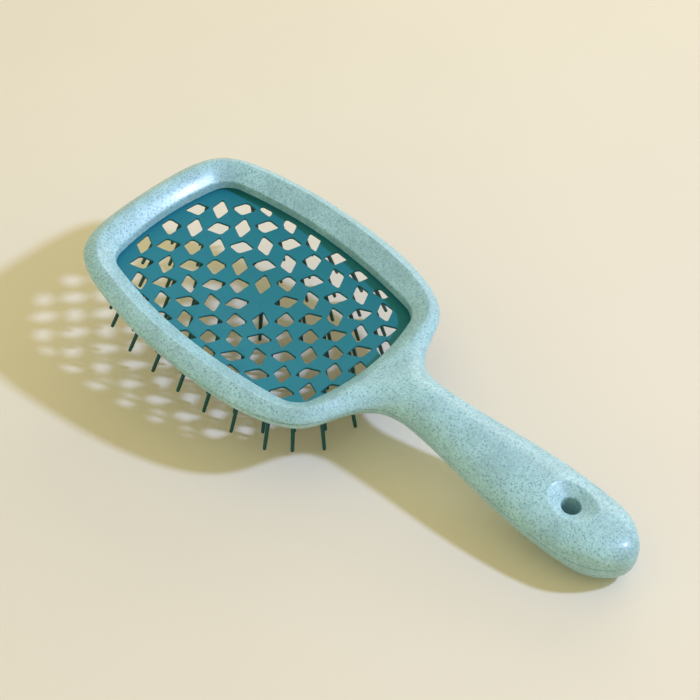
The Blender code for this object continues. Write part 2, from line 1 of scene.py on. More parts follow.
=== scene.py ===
"""Vented paddle brush: its look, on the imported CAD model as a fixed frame.

The brush lies back up. X runs from the head to the handle's end, Y across and Z up, in metres.
The origin is the tip of the middle pin.
"""

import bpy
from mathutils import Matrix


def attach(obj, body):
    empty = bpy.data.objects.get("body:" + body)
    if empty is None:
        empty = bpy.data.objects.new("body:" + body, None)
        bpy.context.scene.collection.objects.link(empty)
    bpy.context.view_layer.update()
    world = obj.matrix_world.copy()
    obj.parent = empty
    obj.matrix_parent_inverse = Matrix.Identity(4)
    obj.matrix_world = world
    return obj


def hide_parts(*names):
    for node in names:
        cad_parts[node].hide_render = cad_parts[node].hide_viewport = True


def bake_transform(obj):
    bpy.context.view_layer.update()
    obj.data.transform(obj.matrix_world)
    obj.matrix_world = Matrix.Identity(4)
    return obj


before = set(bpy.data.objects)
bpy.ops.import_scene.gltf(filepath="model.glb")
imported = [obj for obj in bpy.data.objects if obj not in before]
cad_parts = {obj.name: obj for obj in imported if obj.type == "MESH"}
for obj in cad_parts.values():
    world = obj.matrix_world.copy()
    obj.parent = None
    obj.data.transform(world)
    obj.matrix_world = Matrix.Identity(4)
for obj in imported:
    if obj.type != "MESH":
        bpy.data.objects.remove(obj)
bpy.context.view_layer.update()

from math import pi, radians

import bmesh
import bpy
import numpy as np
from bpy.props import FloatProperty, FloatVectorProperty, IntProperty, PointerProperty
from mathutils import Euler, Matrix, Vector

bl_info = {
    "name": "Vented Paddle Brush",
    "version": (1, 0, 0),
    "blender": (4, 5, 0),
    "location": "3D View > Sidebar > Brush",
    "description": "Builds a hairbrush with two moulded shells, a perforated pad and splayed pins",
    "category": "Add Mesh",
}

MM = 0.001

# Sizes: the CAD solids' own, or within about 1 mm of them where the photograph shows more
HEAD_REACH = 58.8 * MM                  # middle of the pad to the far end of the head
HEAD_HALF_WIDTH = 45.1 * MM
HANDLE_REACH = 155.4 * MM
NECK_REACH = 73.9 * MM
NECK_HALF_WIDTH = 9.1 * MM
GRIP_HALF_WIDTH = 14.1 * MM
WINDOW_HALF_WIDTH = 34.0 * MM
WINDOW_FAR_REACH = 48.0 * MM
WINDOW_NEAR_REACH = 48.6 * MM
FAR_SIDE_SAG = 7.4 * MM                 # how far the window's long edges draw in towards the far end
NEAR_SIDE_SAG = 6.2 * MM
FAR_END_SAG = 5.2 * MM
NEAR_END_SAG = 7.0 * MM
WINDOW_CORNER = 4.7 * MM
PIN_REACH = 19.7 * MM
PAD_BOW = 4.5 * MM
PAD_THICKNESS = 1.8 * MM                # of the rim
PAD_RIM = 2.6 * MM
BACKING_THICKNESS = 0.5 * MM            # the net's lower slice, which the pins are moulded with
NET_TOP = 0.1 * MM                      # the net's faces, from the middle of the rim's thickness
NET_BOTTOM = -0.95 * MM
NET_SLOT = 0.6 * MM                     # the net's thin part starts this far under the skirt
NET_RECESS = 0.1 * MM                   # and the rim's inner side stands this far behind the skirt
SHELL_WALL = 2.0 * MM
PART_GAP = 0.3 * MM
SEAM_RISE = 9.5 * MM
SEAM_GAP = 0.18 * MM

SEAM_Z = PIN_REACH + SEAM_RISE
FRONT_SEAM_Z = SEAM_Z - SEAM_GAP
RIM_Z = PIN_REACH + PAD_BOW
SKIRT_Z = RIM_Z + PAD_THICKNESS / 2 + PART_GAP
LEDGE_Z = RIM_Z - PAD_THICKNESS / 2 - PART_GAP

# Crown, band and belly
CREST_RISE = 3.9 * MM
CREST_RUN = 4.6 * MM
WALL_POWER = 0.6                        # the wall rises with its run to this power
WALL_SWELL, WALL_SETTLE = 0.12, 5       # and by this share more beyond its run, settling this fast
SADDLE_DIP = 1.8 * MM
SADDLE_SHARE = 0.8
BAND_SLOPE = 0.68                       # rise over run of the band along the head's sides
FAR_BAND_SLOPE = 0.4                    # and farther than its bend from the window
BAND_BEND = 8.0 * MM
END_SLOPE = 0.85                        # at the head's ends the band starts steeper from the window
END_EASE = 0.0135 / MM ** 2             # and loses this much slope with the run squared
END_BAND_FROM, END_BAND_TO = 30 * MM, 42 * MM
EDGE_BELOW = 0.5 * MM
EDGE_DROP = 0.3 * MM
HANDLE_START = WINDOW_NEAR_REACH + 0.8 * MM
SPINE_END = HANDLE_REACH - 11.5 * MM    # the crown of the handle fans out from here
GRIP_RISE = 7.6 * MM
END_FULLNESS = 2.9                      # the handle's section is an ellipse, 2, and fuller at its end
FULLER_FROM, FULLER_TO = 8 * MM, 4 * MM     # before and after the spine's end
NECK_FROM, NECK_TO = 7 * MM, 5 * MM         # before and after the neck
BELLY_FULLNESS = 2.35
BELLY_DROP = 5.8 * MM
BELLY_RUN = 6.4 * MM
NECK_DROP = 7.0 * MM
GRIP_DROP = 10.4 * MM

# Skirt of the back shell, lip and ledge of the front shell
SKIRT_STEP, SKIRT_NICK = 1.4 * MM, 0.15 * MM
LIP_DROP = 3.2 * MM
LIP_RUN = 8.0 * MM
LIP_SHOULDER = 5.5 * MM
LIP_NOSE = 0.7 * MM
FRONT_WINDOW_EXTRA = 1.6 * MM
LEDGE_END, LEDGE_LEAST = 52 * MM, 0.05 * MM

# Hang hole: its dish, the back shell's sleeve and the front shell's mouth round it
HOLE_RADIUS = 3.15 * MM
HOLE_X = 130.5 * MM
DISH_RADIUS = 8.3 * MM
DISH_DEPTH = 2.8 * MM
DISH_BEND = 0.6 * MM
DISH_NOSE, DISH_NOSE_DROP = 0.2 * MM, 0.18 * MM
DISH_APPROACH_SHARES = (0.55, 0.25, 0.12, 0.05)
DISH_BEND_SHARES = (0.0, 0.2, 0.5, 1.0)
DISH_FLAT_SHARES = (0.66, 0.4)
DISH_NOSE_SHARES = (1.5, 1.0, 0.5, 0.15, 0.0)
SLEEVE_WALL, SLEEVE_GAP, SLEEVE_NICK = 1.1 * MM, 0.12 * MM, 0.1 * MM
SLEEVE_END = SEAM_Z - 9.2 * MM
SLEEVE_START, SLEEVE_FOOT = 2.5 * MM, 1.6 * MM      # over the seam, in the bore and outside
ROOF_START, ROOF_FILLET = 2.2 * MM, 2.0 * MM
MOUTH_NOSE, MOUTH_WALL = 0.5 * MM, 1.4 * MM
MOUTH_STEP, MOUTH_FOOT = 4 * MM, 6 * MM
MOUTH_SHARES = (8.4, 5.6, 3.4, 2.0, 1.0, 0.6, 0.28, 0.08, 0.0)

# Net and pins
LATTICE_X = 5.6 * MM
LATTICE_Y = 6.27 * MM
ROWS, COLUMNS = 5, 8
HOLE_HALF_X = 2.6 * MM
HOLE_HALF_Y = 2.75 * MM
HOLE_SKEW = 1.15 * MM                   # a hole's sides are shifted this far against its middle
HOLE_FLARE = 0.6 * MM                   # holes on the middle lines are wider by this towards the middle
HOLE_MARGIN = 0.6 * MM                  # least strip between a hole and the frame
HOLE_WELD = 0.05 * MM
SHORTEST_SIDE = HOLE_MARGIN / 4
FLAT_CORNER = radians(150)              # flatter corners stay as they are
EDGE_SHARE = 0.3                        # of a hole's softened edge, where it turns down
LEAST_HOLE_SHARE = 0.31                 # a hole cut shorter than this by the frame is left out
UPRIGHT_SHARES = (2.5, 1.2)             # columns per row beyond which holes lean along Y: even, odd rows
GATE_MARK = ((0.0, -0.1), (0.25, -0.08), (0.5, 0.0), (0.62, 0.12), (0.8, 0.14), (0.95, 0.05),
             (1.05, -0.3), (0.0, -0.3))                 # radii and heights in millimetres
GATE_SIDES = 24
LATTICE_NICK, LATTICE_INSET = 0.12 * MM, 0.2 * MM       # the pins' lattice, just inside the net
LATTICE_OVERLAP, LATTICE_RELIEF = 0.04 * MM, 0.05 * MM
PIN_MARGIN = 1.3 * MM                   # least distance of a pin's axis from the window's edge
PIN_ROOM_SHARE = 0.75                   # share of it that a pin in a corner keeps
PIN_ROOT = ((0.0, 0.55), (1.3, 0.7), (1.12, 1.15), (1.03, 1.6), (1.0, 2.4))     # shares, millimetres
PIN_TIP = ((1.02, 0.45), (0.86, 0.16), (0.5, 0.02), (0.0, 0.0))
END_SPLAY_SHARE = 0.27
SIDE_SPLAY_SHARE = 0.29
FAR_PIN_GROWTH = 0.07                   # pins get longer by this share towards the far end
GROWTH_RUN = 40 * MM

# Outline: shares along each stretch and shares of its half width
HEAD_SHARES = ((-1.0, 0.0), (-0.996, 0.22), (-0.982, 0.43), (-0.948, 0.61), (-0.885, 0.74),
               (-0.77, 0.838), (-0.62, 0.9), (-0.476, 0.94), (-0.24, 0.985), (0.05, 1.0),
               (0.286, 0.993), (0.476, 0.963), (0.667, 0.897), (0.81, 0.797), (0.886, 0.683),
               (0.933, 0.547))
SHOULDER_SHARES = ((0.118, 0.65), (0.265, 0.364), (0.47, 0.127), (0.76, 0.015))
GRIP_SHARES = ((0.0, 0.0), (0.124, 0.15), (0.261, 0.43), (0.399, 0.72), (0.536, 0.935),
               (0.674, 1.0), (0.777, 0.92))
END_SHARES = ((0.867, 0.83), (0.932, 0.61), (0.98, 0.32), (1.0, 0.0))

# Mesh: spokes run from the outline inwards, and rows run along it
HEAD_SPOKES, SPINE_SPOKES, PATCH_SPOKES, END_SPOKES = 156, 46, 26, 10
PATCH_RADIUS = 10.8 * MM                # round patch of mesh about the hang hole
TAIL_PAST_SPINE = 1.5 * MM
LAST_HEAD_SPOKE = 67 * MM
AHEAD_SHARE, BEHIND_SHARE = 0.75, 0.95
GATHER_TURN = radians(45)
NECK_VIEW, CREST_LIMIT = radians(12), 66 * MM       # towards the neck the crest stays inside this
WALL_STEPS = 13
HEAD_WALL_TURN, EXTRA_GRIP_TURN = radians(74), radians(14)
WALL_TURN_FROM, WALL_TURN_TO = 50 * MM, 75 * MM
BAND_SHARES = (0.03, 0.07, 0.13, 0.22, 0.35, 0.5, 0.65, 0.78, 0.87, 0.91, 0.94, 0.965, 0.985, 0.995, 1.0)
LIP_SHARES = (0.2, 0.4, 0.6, 0.8, 0.86, 0.92, 0.96, 0.985, 1.0)
HOLLOW_SHARES = (0.12, 0.3, 0.55, 0.8, 1.0)
OUTLINE_POINTS, SPAN_POINTS, RIM_POINTS, LIMIT_POINTS, FINE_ANGLES = 720, 24, 180, 96, 2400
SPOKE_ROUNDS, CREST_ROUNDS = 12, 3      # of smoothing
FAIRING_WEIGHTS = (0.5, -0.52) * 14     # shrinking and swelling in turn smooths without a loss of size
HALVINGS = 44
BEYOND_WINDOW = 100 * MM
PLACES_AT_ONCE = 2000
WELD = 1e-6


# Plan curves

def outline_side():
    """Control points of one side of the outline, from the far end to the handle's end."""
    side = [(HEAD_REACH * along, HEAD_HALF_WIDTH * across) for along, across in HEAD_SHARES]
    corner_x, corner_y = side[-1]
    run, flare = NECK_REACH - corner_x, corner_y - NECK_HALF_WIDTH
    side += [(corner_x + along * run, NECK_HALF_WIDTH + left * flare) for along, left in SHOULDER_SHARES]
    run, swell = HANDLE_REACH - NECK_REACH, GRIP_HALF_WIDTH - NECK_HALF_WIDTH
    side += [(NECK_REACH + along * run, NECK_HALF_WIDTH + wide * swell) for along, wide in GRIP_SHARES]
    side += [(NECK_REACH + along * run, wide * GRIP_HALF_WIDTH) for along, wide in END_SHARES]
    return side


def fair_outline(count):
    """Even points along the whole outline, faired so that gloss runs over it without a ripple."""
    side = outline_side()
    points = np.array([(x, -y) for x, y in side] + [(x, y) for x, y in reversed(side[1:-1])])
    t = np.arange(SPAN_POINTS)[:, None] / SPAN_POINTS
    before, after, beyond = np.roll(points, 1, 0), np.roll(points, -1, 0), np.roll(points, -2, 0)
    fine = np.concatenate([(2 * t * t - t - t ** 3) / 2 * a + (3 * t ** 3 - 5 * t * t + 2) / 2 * b
                           + (4 * t * t + t - 3 * t ** 3) / 2 * c + (t ** 3 - t * t) / 2 * d
                           for a, b, c, d in zip(before, points, after, beyond)])
    even = spread(np.vstack([fine, fine[:1]]), np.linspace(0, 1, count + 1)[:-1])
    for weight in FAIRING_WEIGHTS:
        even += weight * ((np.roll(even, 1, 0) + np.roll(even, -1, 0)) / 2 - even)
    return even


def run_of(path):
    """Length of a path up to each of its points."""
    return np.concatenate([[0.0], np.cumsum(np.hypot(*np.diff(path, axis=0).T))])


def spread(path, shares):
    """Points of a path at shares of its length."""
    run = run_of(path)
    goal = np.asarray(shares) * run[-1]
    return np.column_stack([np.interp(goal, run, path[:, 0]), np.interp(goal, run, path[:, 1])])


def polar(angles, reach):
    """Places in the given directions, at the given distances from the origin."""
    return np.column_stack([reach * np.cos(angles), reach * np.sin(angles)])


def halved(low, high, holds):
    """The last places, between low and high, up to which a test holds."""
    for _ in range(HALVINGS):
        middle = (low + high) / 2
        kept = holds(middle)
        low, high = np.where(kept, middle, low), np.where(kept, high, middle)
    return low


OUTLINE = fair_outline(OUTLINE_POINTS)
UPPER = OUTLINE[:OUTLINE_POINTS // 2 + 1].copy()        # one side, from the far end to the handle's end
UPPER[:, 1] = np.abs(UPPER[:, 1])
UPPER[0, 1] = UPPER[-1, 1] = 0.0


def window_room(x, y):
    """Half width of the window at x and its reach at y, before its corners are rounded."""
    far = np.less(x, 0)
    reach = np.where(far, WINDOW_FAR_REACH, WINDOW_NEAR_REACH)
    side = WINDOW_HALF_WIDTH - np.where(far, FAR_SIDE_SAG, NEAR_SIDE_SAG) * (x / reach) ** 2
    end = reach - np.where(far, FAR_END_SAG, NEAR_END_SAG) * (y / WINDOW_HALF_WIDTH) ** 2
    return side, end


def window_at(angles, extra=0.0):
    """Edge of the window in the given directions from the pad's middle, moved outwards by the extra."""
    corner = WINDOW_CORNER + extra

    def inside(reach):
        x, y = polar(angles, reach).T
        half, end = window_room(x, y)
        past_end = np.maximum(np.abs(x) - end - extra + corner, 0.0)
        past_side = np.maximum(np.abs(y) - half - extra + corner, 0.0)
        return np.sqrt(past_end ** 2 + past_side ** 2) <= corner

    return polar(angles, halved(np.zeros(len(angles)), BEYOND_WINDOW, inside))


def window_loop(count, extra=0.0):
    """The window's edge as a closed loop of points."""
    return window_at(np.linspace(0, 2 * pi, count + 1)[:-1], extra)


WINDOW = window_loop(OUTLINE_POINTS)


def gap_to(loop, x, y):
    """Distance of places from a closed loop."""
    start, run = loop, np.roll(loop, -1, 0) - loop
    flat = np.column_stack([np.ravel(x), np.ravel(y)])
    found = []
    for part in np.array_split(flat, len(flat) // PLACES_AT_ONCE + 1):
        off = part[:, None, :] - start[None]
        t = np.clip((off * run).sum(2) / (run * run).sum(1), 0, 1)
        found.append(np.sqrt(((off - t[..., None] * run) ** 2).sum(2).min(1)))
    return np.concatenate(found).reshape(np.shape(x))


def ease(value, start, end):
    """Smooth step from 0 at the start to 1 at the end."""
    t = np.clip((value - start) / (end - start), 0.0, 1.0)
    return t * t * (3 - 2 * t)


def rounded(t):
    """Quarter ellipse from 0 to 1."""
    return np.sqrt(1 - (1 - np.clip(t, 0.0, 1.0)) ** 2)


def soft_lower(a, b, soft):
    """The lower of two heights, with the line where they cross rounded."""
    return (a + b - np.sqrt((a - b) ** 2 + soft ** 2)) / 2


# Heights of the two shells

def half_width(x):
    """Half width of the outline in the handle."""
    handle = UPPER[len(UPPER) // 2:]
    return np.interp(x, handle[:, 0], handle[:, 1])


def held_width(x):
    """Half width of the handle, held at its widest from there to the end."""
    widest = UPPER[np.argmax(np.where(UPPER[:, 0] > NECK_REACH, UPPER[:, 1], 0)), 0]
    return np.maximum(half_width(np.clip(x, NECK_REACH, widest)), NECK_HALF_WIDTH)


def handle_share(x):
    """0 in the head, 1 in the handle, and a smooth blend between them."""
    return ease(x, HANDLE_START, NECK_REACH)


def grip_round(x, y, edge, end_fullness):
    """How far the handle's section has risen: 0 at its outline, 1 along its middle."""
    behind = UPPER[UPPER[:, 0] > SPINE_END] - (SPINE_END, 0.0)
    angles, reaches = np.arctan2(behind[:, 1], behind[:, 0])[::-1], np.hypot(*behind.T)[::-1]
    fan = np.hypot(x - SPINE_END, y) / np.interp(np.arctan2(np.abs(y), x - SPINE_END), angles, reaches)
    out = np.where(x < SPINE_END, np.abs(y) / np.maximum(half_width(x), MM), fan)
    fullness = 2 + (end_fullness - 2) * ease(x, SPINE_END - FULLER_FROM, SPINE_END + FULLER_TO)
    handle = (1 - np.clip(out, 0, 1) ** fullness) ** (1 / fullness)
    blend = ease(x, NECK_REACH - NECK_FROM, NECK_REACH + NECK_TO)
    return (1 - blend) * rounded(edge / NECK_HALF_WIDTH) + blend * handle


def wall_share(edge):
    """How far the head's outer wall has risen: it still slopes where it meets the band."""
    t = edge / CREST_RUN
    past = 1 - np.exp(-WALL_SETTLE * np.maximum(t - 1, 0))
    return np.where(t < 1, np.clip(t, 0, 1) ** WALL_POWER, 1 + WALL_SWELL * past)


def crown_and_band(x, y):
    """Heights over the seam of the rounded crown and of the band that slopes in to the window."""
    edge, window = gap_to(OUTLINE, x, y), gap_to(WINDOW, x, y)
    dip = np.where(x > 0, SADDLE_DIP * (1 - ease(np.abs(y), 0, SADDLE_SHARE * WINDOW_HALF_WIDTH)), 0.0)
    share = handle_share(x)
    crown = (1 - share) * (CREST_RISE - dip) * wall_share(edge)
    crown += share * GRIP_RISE * grip_round(x, y, edge, END_FULLNESS)
    near = np.minimum(window, BAND_BEND)
    curved = END_SLOPE * near - END_EASE * near ** 3 / 3
    band = BAND_SLOPE * near + ease(np.abs(x), END_BAND_FROM, END_BAND_TO) * (curved - BAND_SLOPE * near)
    drop = EDGE_DROP * (1 - rounded(window / bpy.context.scene.brush_shells.window_softness))
    return crown, band + FAR_BAND_SLOPE * (window - near) - EDGE_BELOW - drop, edge


def back_z(x, y):
    """Outer face of the back shell."""
    crown, band, edge = crown_and_band(x, y)
    soft = bpy.context.scene.brush_shells.crest_softness
    return SEAM_Z + soft_lower(crown, band, soft) + soft / 2 * (1 - rounded(edge / CREST_RUN))


def front_z(x, y):
    """Outer face of the front shell."""
    edge, window = gap_to(OUTLINE, x, y), gap_to(WINDOW, x, y)
    head = BELLY_DROP * rounded(edge / BELLY_RUN) + LIP_DROP * ease(window, LIP_RUN, 0)
    swell = (held_width(x) - NECK_HALF_WIDTH) / (GRIP_HALF_WIDTH - NECK_HALF_WIDTH)
    grip = (NECK_DROP + swell * (GRIP_DROP - NECK_DROP)) * grip_round(x, y, edge, BELLY_FULLNESS)
    share = handle_share(x)
    return FRONT_SEAM_Z - (1 - share) * head - share * grip


# Rails: each is a row of plan points, one for each spoke from the outline inwards

def on_middle(rail):
    """A rail with its two ends put on the middle line."""
    rail[0, 1] = rail[-1, 1] = 0.0
    return rail


def evened(values, rounds):
    """Values smoothed along their row; the first and the last stay."""
    for _ in range(rounds):
        values[1:-1] = (values[:-2] + 2 * values[1:-1] + values[2:]) / 4
    return values


def inset(path, distance):
    """One side of the outline, moved inwards."""
    step = np.gradient(path, axis=0)
    step /= np.hypot(*step.T)[:, None]
    return on_middle(path + distance * np.column_stack([step[:, 1], -step[:, 0]]))


def head_angles():
    """Directions from the pad's middle for the head's spokes, denser where the window's edge turns."""
    fine = np.linspace(pi, 0, FINE_ANGLES)
    coarse = fine[::8]
    bend = np.hypot(*np.gradient(window_at(coarse), axis=0).T)
    weight = np.interp(fine, coarse[::-1], bend[::-1])
    run = np.concatenate([[0.0], np.cumsum((weight[1:] + weight[:-1]) / 2)])
    return np.interp(np.linspace(0, run[-1], HEAD_SPOKES + 1), run, fine)


HEAD_ANGLES = head_angles()
PATCH_ANGLES = np.linspace(pi, 0, PATCH_SPOKES + 1)
HEAD = slice(0, HEAD_SPOKES + 1)
PATCH = slice(HEAD_SPOKES + SPINE_SPOKES, HEAD_SPOKES + SPINE_SPOKES + PATCH_SPOKES + 1)


def outline_rail():
    """Points of the outline, one for each spoke."""
    run = run_of(UPPER)

    def nearest(x):
        return np.argmin(np.abs(UPPER[:, 0] - x))

    # The head's spokes look straight outwards, and near the neck they are gathered along the shoulder
    angle = np.arctan2(UPPER[:, 1], UPPER[:, 0])
    last = nearest(LAST_HEAD_SPOKE)
    low, u = angle[last], HEAD_ANGLES / GATHER_TURN
    pull = GATHER_TURN / (GATHER_TURN - low) - 1
    gathered = low + (GATHER_TURN - low) * (u + pull * u * u * (u - 1))
    aimed = np.where(HEAD_ANGLES > GATHER_TURN, HEAD_ANGLES, gathered)
    head = np.interp(aimed, angle[:last + 1][::-1], run[:last + 1][::-1])

    ahead = run[nearest(HOLE_X - AHEAD_SHARE * PATCH_RADIUS)]
    behind = run[nearest(HOLE_X + BEHIND_SHARE * PATCH_RADIUS)]
    stations = [head]
    for goal, spokes in ((ahead, SPINE_SPOKES), (behind, PATCH_SPOKES), (run[-1], END_SPOKES)):
        stations.append(np.linspace(stations[-1][-1], goal, spokes + 1)[1:])
    return spread(UPPER, evened(np.concatenate(stations), SPOKE_ROUNDS) / run[-1])


RAIL = outline_rail()
WALL_RAIL = inset(RAIL, SHELL_WALL)


def ring(radius):
    """Half a circle round the hang hole."""
    return on_middle(polar(PATCH_ANGLES, radius) + (HOLE_X, 0.0))


def inner_rail(head):
    """Where the spokes end: at the head's inner curve, along the spine and round the patch."""
    spine = np.linspace(head[-1, 0], HOLE_X - PATCH_RADIUS, SPINE_SPOKES + 1)[1:]
    tail = np.linspace(HOLE_X + PATCH_RADIUS, SPINE_END + TAIL_PAST_SPINE, END_SPOKES + 1)[1:]
    return np.vstack([head, np.column_stack([spine, 0 * spine]), ring(PATCH_RADIUS)[1:],
                      np.column_stack([tail, 0 * tail])])


def window_rail(extra=0.0):
    """The window's edge for the head's spokes, moved outwards by the extra."""
    return on_middle(window_at(HEAD_ANGLES, extra))


def crest_curve():
    """Line where the crown meets the band, in the directions of the head's spokes."""
    outline = np.interp(HEAD_ANGLES, np.arctan2(UPPER[:, 1], UPPER[:, 0])[::-1], np.hypot(*UPPER.T)[::-1])
    outer = np.where(HEAD_ANGLES > NECK_VIEW, outline, CREST_LIMIT)

    def in_band(reach):
        crown, band, _ = crown_and_band(*polar(HEAD_ANGLES, reach).T)
        return band < crown

    reach = halved(np.hypot(*window_at(HEAD_ANGLES).T), outer, in_band)
    return polar(HEAD_ANGLES, evened(reach, CREST_ROUNDS))


# Building with rows of vertices

def first_row(bm, rail, z):
    """A row of vertices joined by edges."""
    row = [bm.verts.new((x, y, h)) for (x, y), h in zip(rail, np.broadcast_to(z, len(rail)))]
    for pair in zip(row, row[1:]):
        bm.edges.new(pair)
    return row


def draw_on(bm, row, rail, z, closed=False):
    """Extrude a row of edges to new places and return the new row."""
    after = row[1:] + row[:1] if closed else row[1:]
    edges = [bm.edges.get(pair) for pair in zip(row, after)]
    made = bmesh.ops.extrude_edge_only(bm, edges=edges)["geom"]
    fresh = {v for v in made if isinstance(v, bmesh.types.BMVert)}
    following = [next(e.other_vert(v) for e in v.link_edges if e.other_vert(v) in fresh) for v in row]
    for vert, (x, y), h in zip(following, rail, np.broadcast_to(z, len(rail))):
        vert.co = (x, y, h)
    return following


def draw_rings(bm, row, steps):
    """Extrude a row over rings round the hang hole, each with its radius and height."""
    for radius, z in steps:
        row = draw_on(bm, row, ring(radius), z)
    return row


def lay_skin(bm, row, outer, inner, shares, height):
    """Draw a row inwards from the outer rail to the inner one over a surface of the given height."""
    for share in shares:
        rail = on_middle(outer + np.asarray(share)[..., None] * (inner - outer))
        row = draw_on(bm, row, rail, height(*rail.T))
    return row


def seam_rows(bm, seam, turn):
    """The wall's edge at the seam and its chamfer, turned up (1) or down (-1): inner and outer row."""
    nick = bpy.context.scene.brush_shells.seam_chamfer
    start = first_row(bm, WALL_RAIL, seam)
    row = draw_on(bm, start, inset(RAIL, nick), seam)
    return start, draw_on(bm, row, RAIL, seam + turn * nick)


def lay_hollow(bm, start, inner, roof):
    """The inside of a shell, from the wall's inner edge at the seam inwards."""
    row = draw_on(bm, start, WALL_RAIL, roof(*WALL_RAIL.T))
    lay_skin(bm, row, WALL_RAIL, inner_rail(inner), HOLLOW_SHARES, roof)


def close_shell(bm, name):
    """Mirror one side across the middle line, weld it shut and turn its faces out."""
    bmesh.ops.remove_doubles(bm, verts=bm.verts, dist=WELD)
    bmesh.ops.mirror(bm, geom=bm.verts[:] + bm.edges[:] + bm.faces[:], matrix=Matrix.Identity(4),
                     merge_dist=2 * WELD, axis="Y")
    bmesh.ops.remove_doubles(bm, verts=bm.verts, dist=2 * WELD)
    bmesh.ops.dissolve_degenerate(bm, edges=bm.edges, dist=WELD)
    bmesh.ops.recalc_face_normals(bm, faces=bm.faces)
    check_closed(bm, name)


def check_closed(bm, name):
    """Stop if a piece has an open or crossed edge."""
    open_edges = [e for e in bm.edges if len(e.link_faces) != 2]
    if open_edges:
        places = [tuple(round(c / MM, 1) for c in e.verts[0].co) for e in open_edges[:4]]
        raise RuntimeError("%s has %d edges without two faces, near %s" % (name, len(open_edges), places))


def new_mesh(name, bm):
    """A mesh from a bmesh, which is freed."""
    mesh = bpy.data.meshes.new(name)
    bm.to_mesh(mesh)
    bm.free()
    return mesh


def new_object(name, data):
    """An object, linked to the scene."""
    made = bpy.data.objects.new(name, data)
    bpy.context.scene.collection.objects.link(made)
    return made


def make_piece(name, bm, material, node, crease=38):
    """Turn a bmesh into a smooth shaded piece that stands for a CAD node."""
    mesh = new_mesh(name, bm)
    mesh.shade_smooth()
    mesh.set_sharp_from_angle(angle=radians(crease))
    mesh.materials.append(material)
    piece = new_object(name, mesh)
    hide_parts(node)
    return piece


def wall_shares():
    """Shares along the spokes that follow the rounded wall evenly; steeper in the handle."""
    last = HEAD_WALL_TURN + EXTRA_GRIP_TURN * ease(RAIL[:, 0], WALL_TURN_FROM, WALL_TURN_TO)
    return [(1 - np.cos(last * k / WALL_STEPS)) / (1 - np.cos(last)) for k in range(1, WALL_STEPS + 1)]


def build_back_shell():
    """The visible back: rounded wall, crest, sloping band, skirt, and a dish round the hang hole."""
    bm = bmesh.new()
    crest = inner_rail(crest_curve())
    start, row = seam_rows(bm, SEAM_Z, 1)
    row = lay_skin(bm, row, RAIL, crest, wall_shares(), back_z)

    def roof(x, y):
        return back_z(x, y) - SHELL_WALL

    # Band from the crest to the window, then the skirt down to the pad
    window, behind = window_rail(), window_rail(SHELL_WALL)
    band = lay_skin(bm, row[HEAD], crest[HEAD], window, BAND_SHARES, back_z)
    for rail, z in ((window, SKIRT_Z + SKIRT_STEP), (window, SKIRT_Z + SKIRT_NICK),
                    (window_rail(SKIRT_NICK), SKIRT_Z), (behind, SKIRT_Z), (behind, roof(*behind.T))):
        band = draw_on(bm, band, rail, z)

    # Dish and hang hole, with the sleeve inside that lines the hole
    outer = HOLE_RADIUS + SLEEVE_WALL
    hole = draw_rings(bm, lay_dish(bm, row[PATCH]), (
        (HOLE_RADIUS, SEAM_Z + SLEEVE_START), (HOLE_RADIUS, SLEEVE_END + 2 * SLEEVE_NICK),
        (HOLE_RADIUS + 2 * SLEEVE_NICK, SLEEVE_END), (outer - SLEEVE_NICK, SLEEVE_END),
        (outer, SLEEVE_END + SLEEVE_NICK), (outer, SEAM_Z + SLEEVE_FOOT),
        (PATCH_RADIUS - ROOF_FILLET, SEAM_Z + ROOF_START)))
    patch = ring(PATCH_RADIUS)
    draw_on(bm, hole, patch, roof(*patch.T))
    lay_hollow(bm, start, behind, roof)
    close_shell(bm, "back_shell_skin")
    return bm


def lay_dish(bm, row):
    """Rings from the round patch over the dish's edge down to the hang hole."""
    soft = bpy.context.scene.brush_shells.dish_softness

    def bowl(radius):
        return SEAM_Z + GRIP_RISE - DISH_DEPTH * (DISH_RADIUS - radius) / (DISH_RADIUS - HOLE_RADIUS)

    def height(radius):
        nose = DISH_NOSE_DROP * (1 - rounded((radius - HOLE_RADIUS) / DISH_NOSE))
        return soft_lower(back_z(*ring(radius).T), bowl(radius), soft) - nose

    bore = np.full(len(PATCH_ANGLES), HOLE_RADIUS)
    edge = halved(bore, PATCH_RADIUS, lambda radius: back_z(*ring(radius).T) > bowl(radius))
    foot = edge - DISH_BEND
    rings = [edge + share * (PATCH_RADIUS - edge) for share in DISH_APPROACH_SHARES]
    rings += [edge - share * DISH_BEND for share in DISH_BEND_SHARES]
    rings += [HOLE_RADIUS + share * (foot - HOLE_RADIUS) for share in DISH_FLAT_SHARES]
    rings += [bore + share * DISH_NOSE for share in DISH_NOSE_SHARES]
    return draw_rings(bm, row, [(radius, height(radius)) for radius in rings])


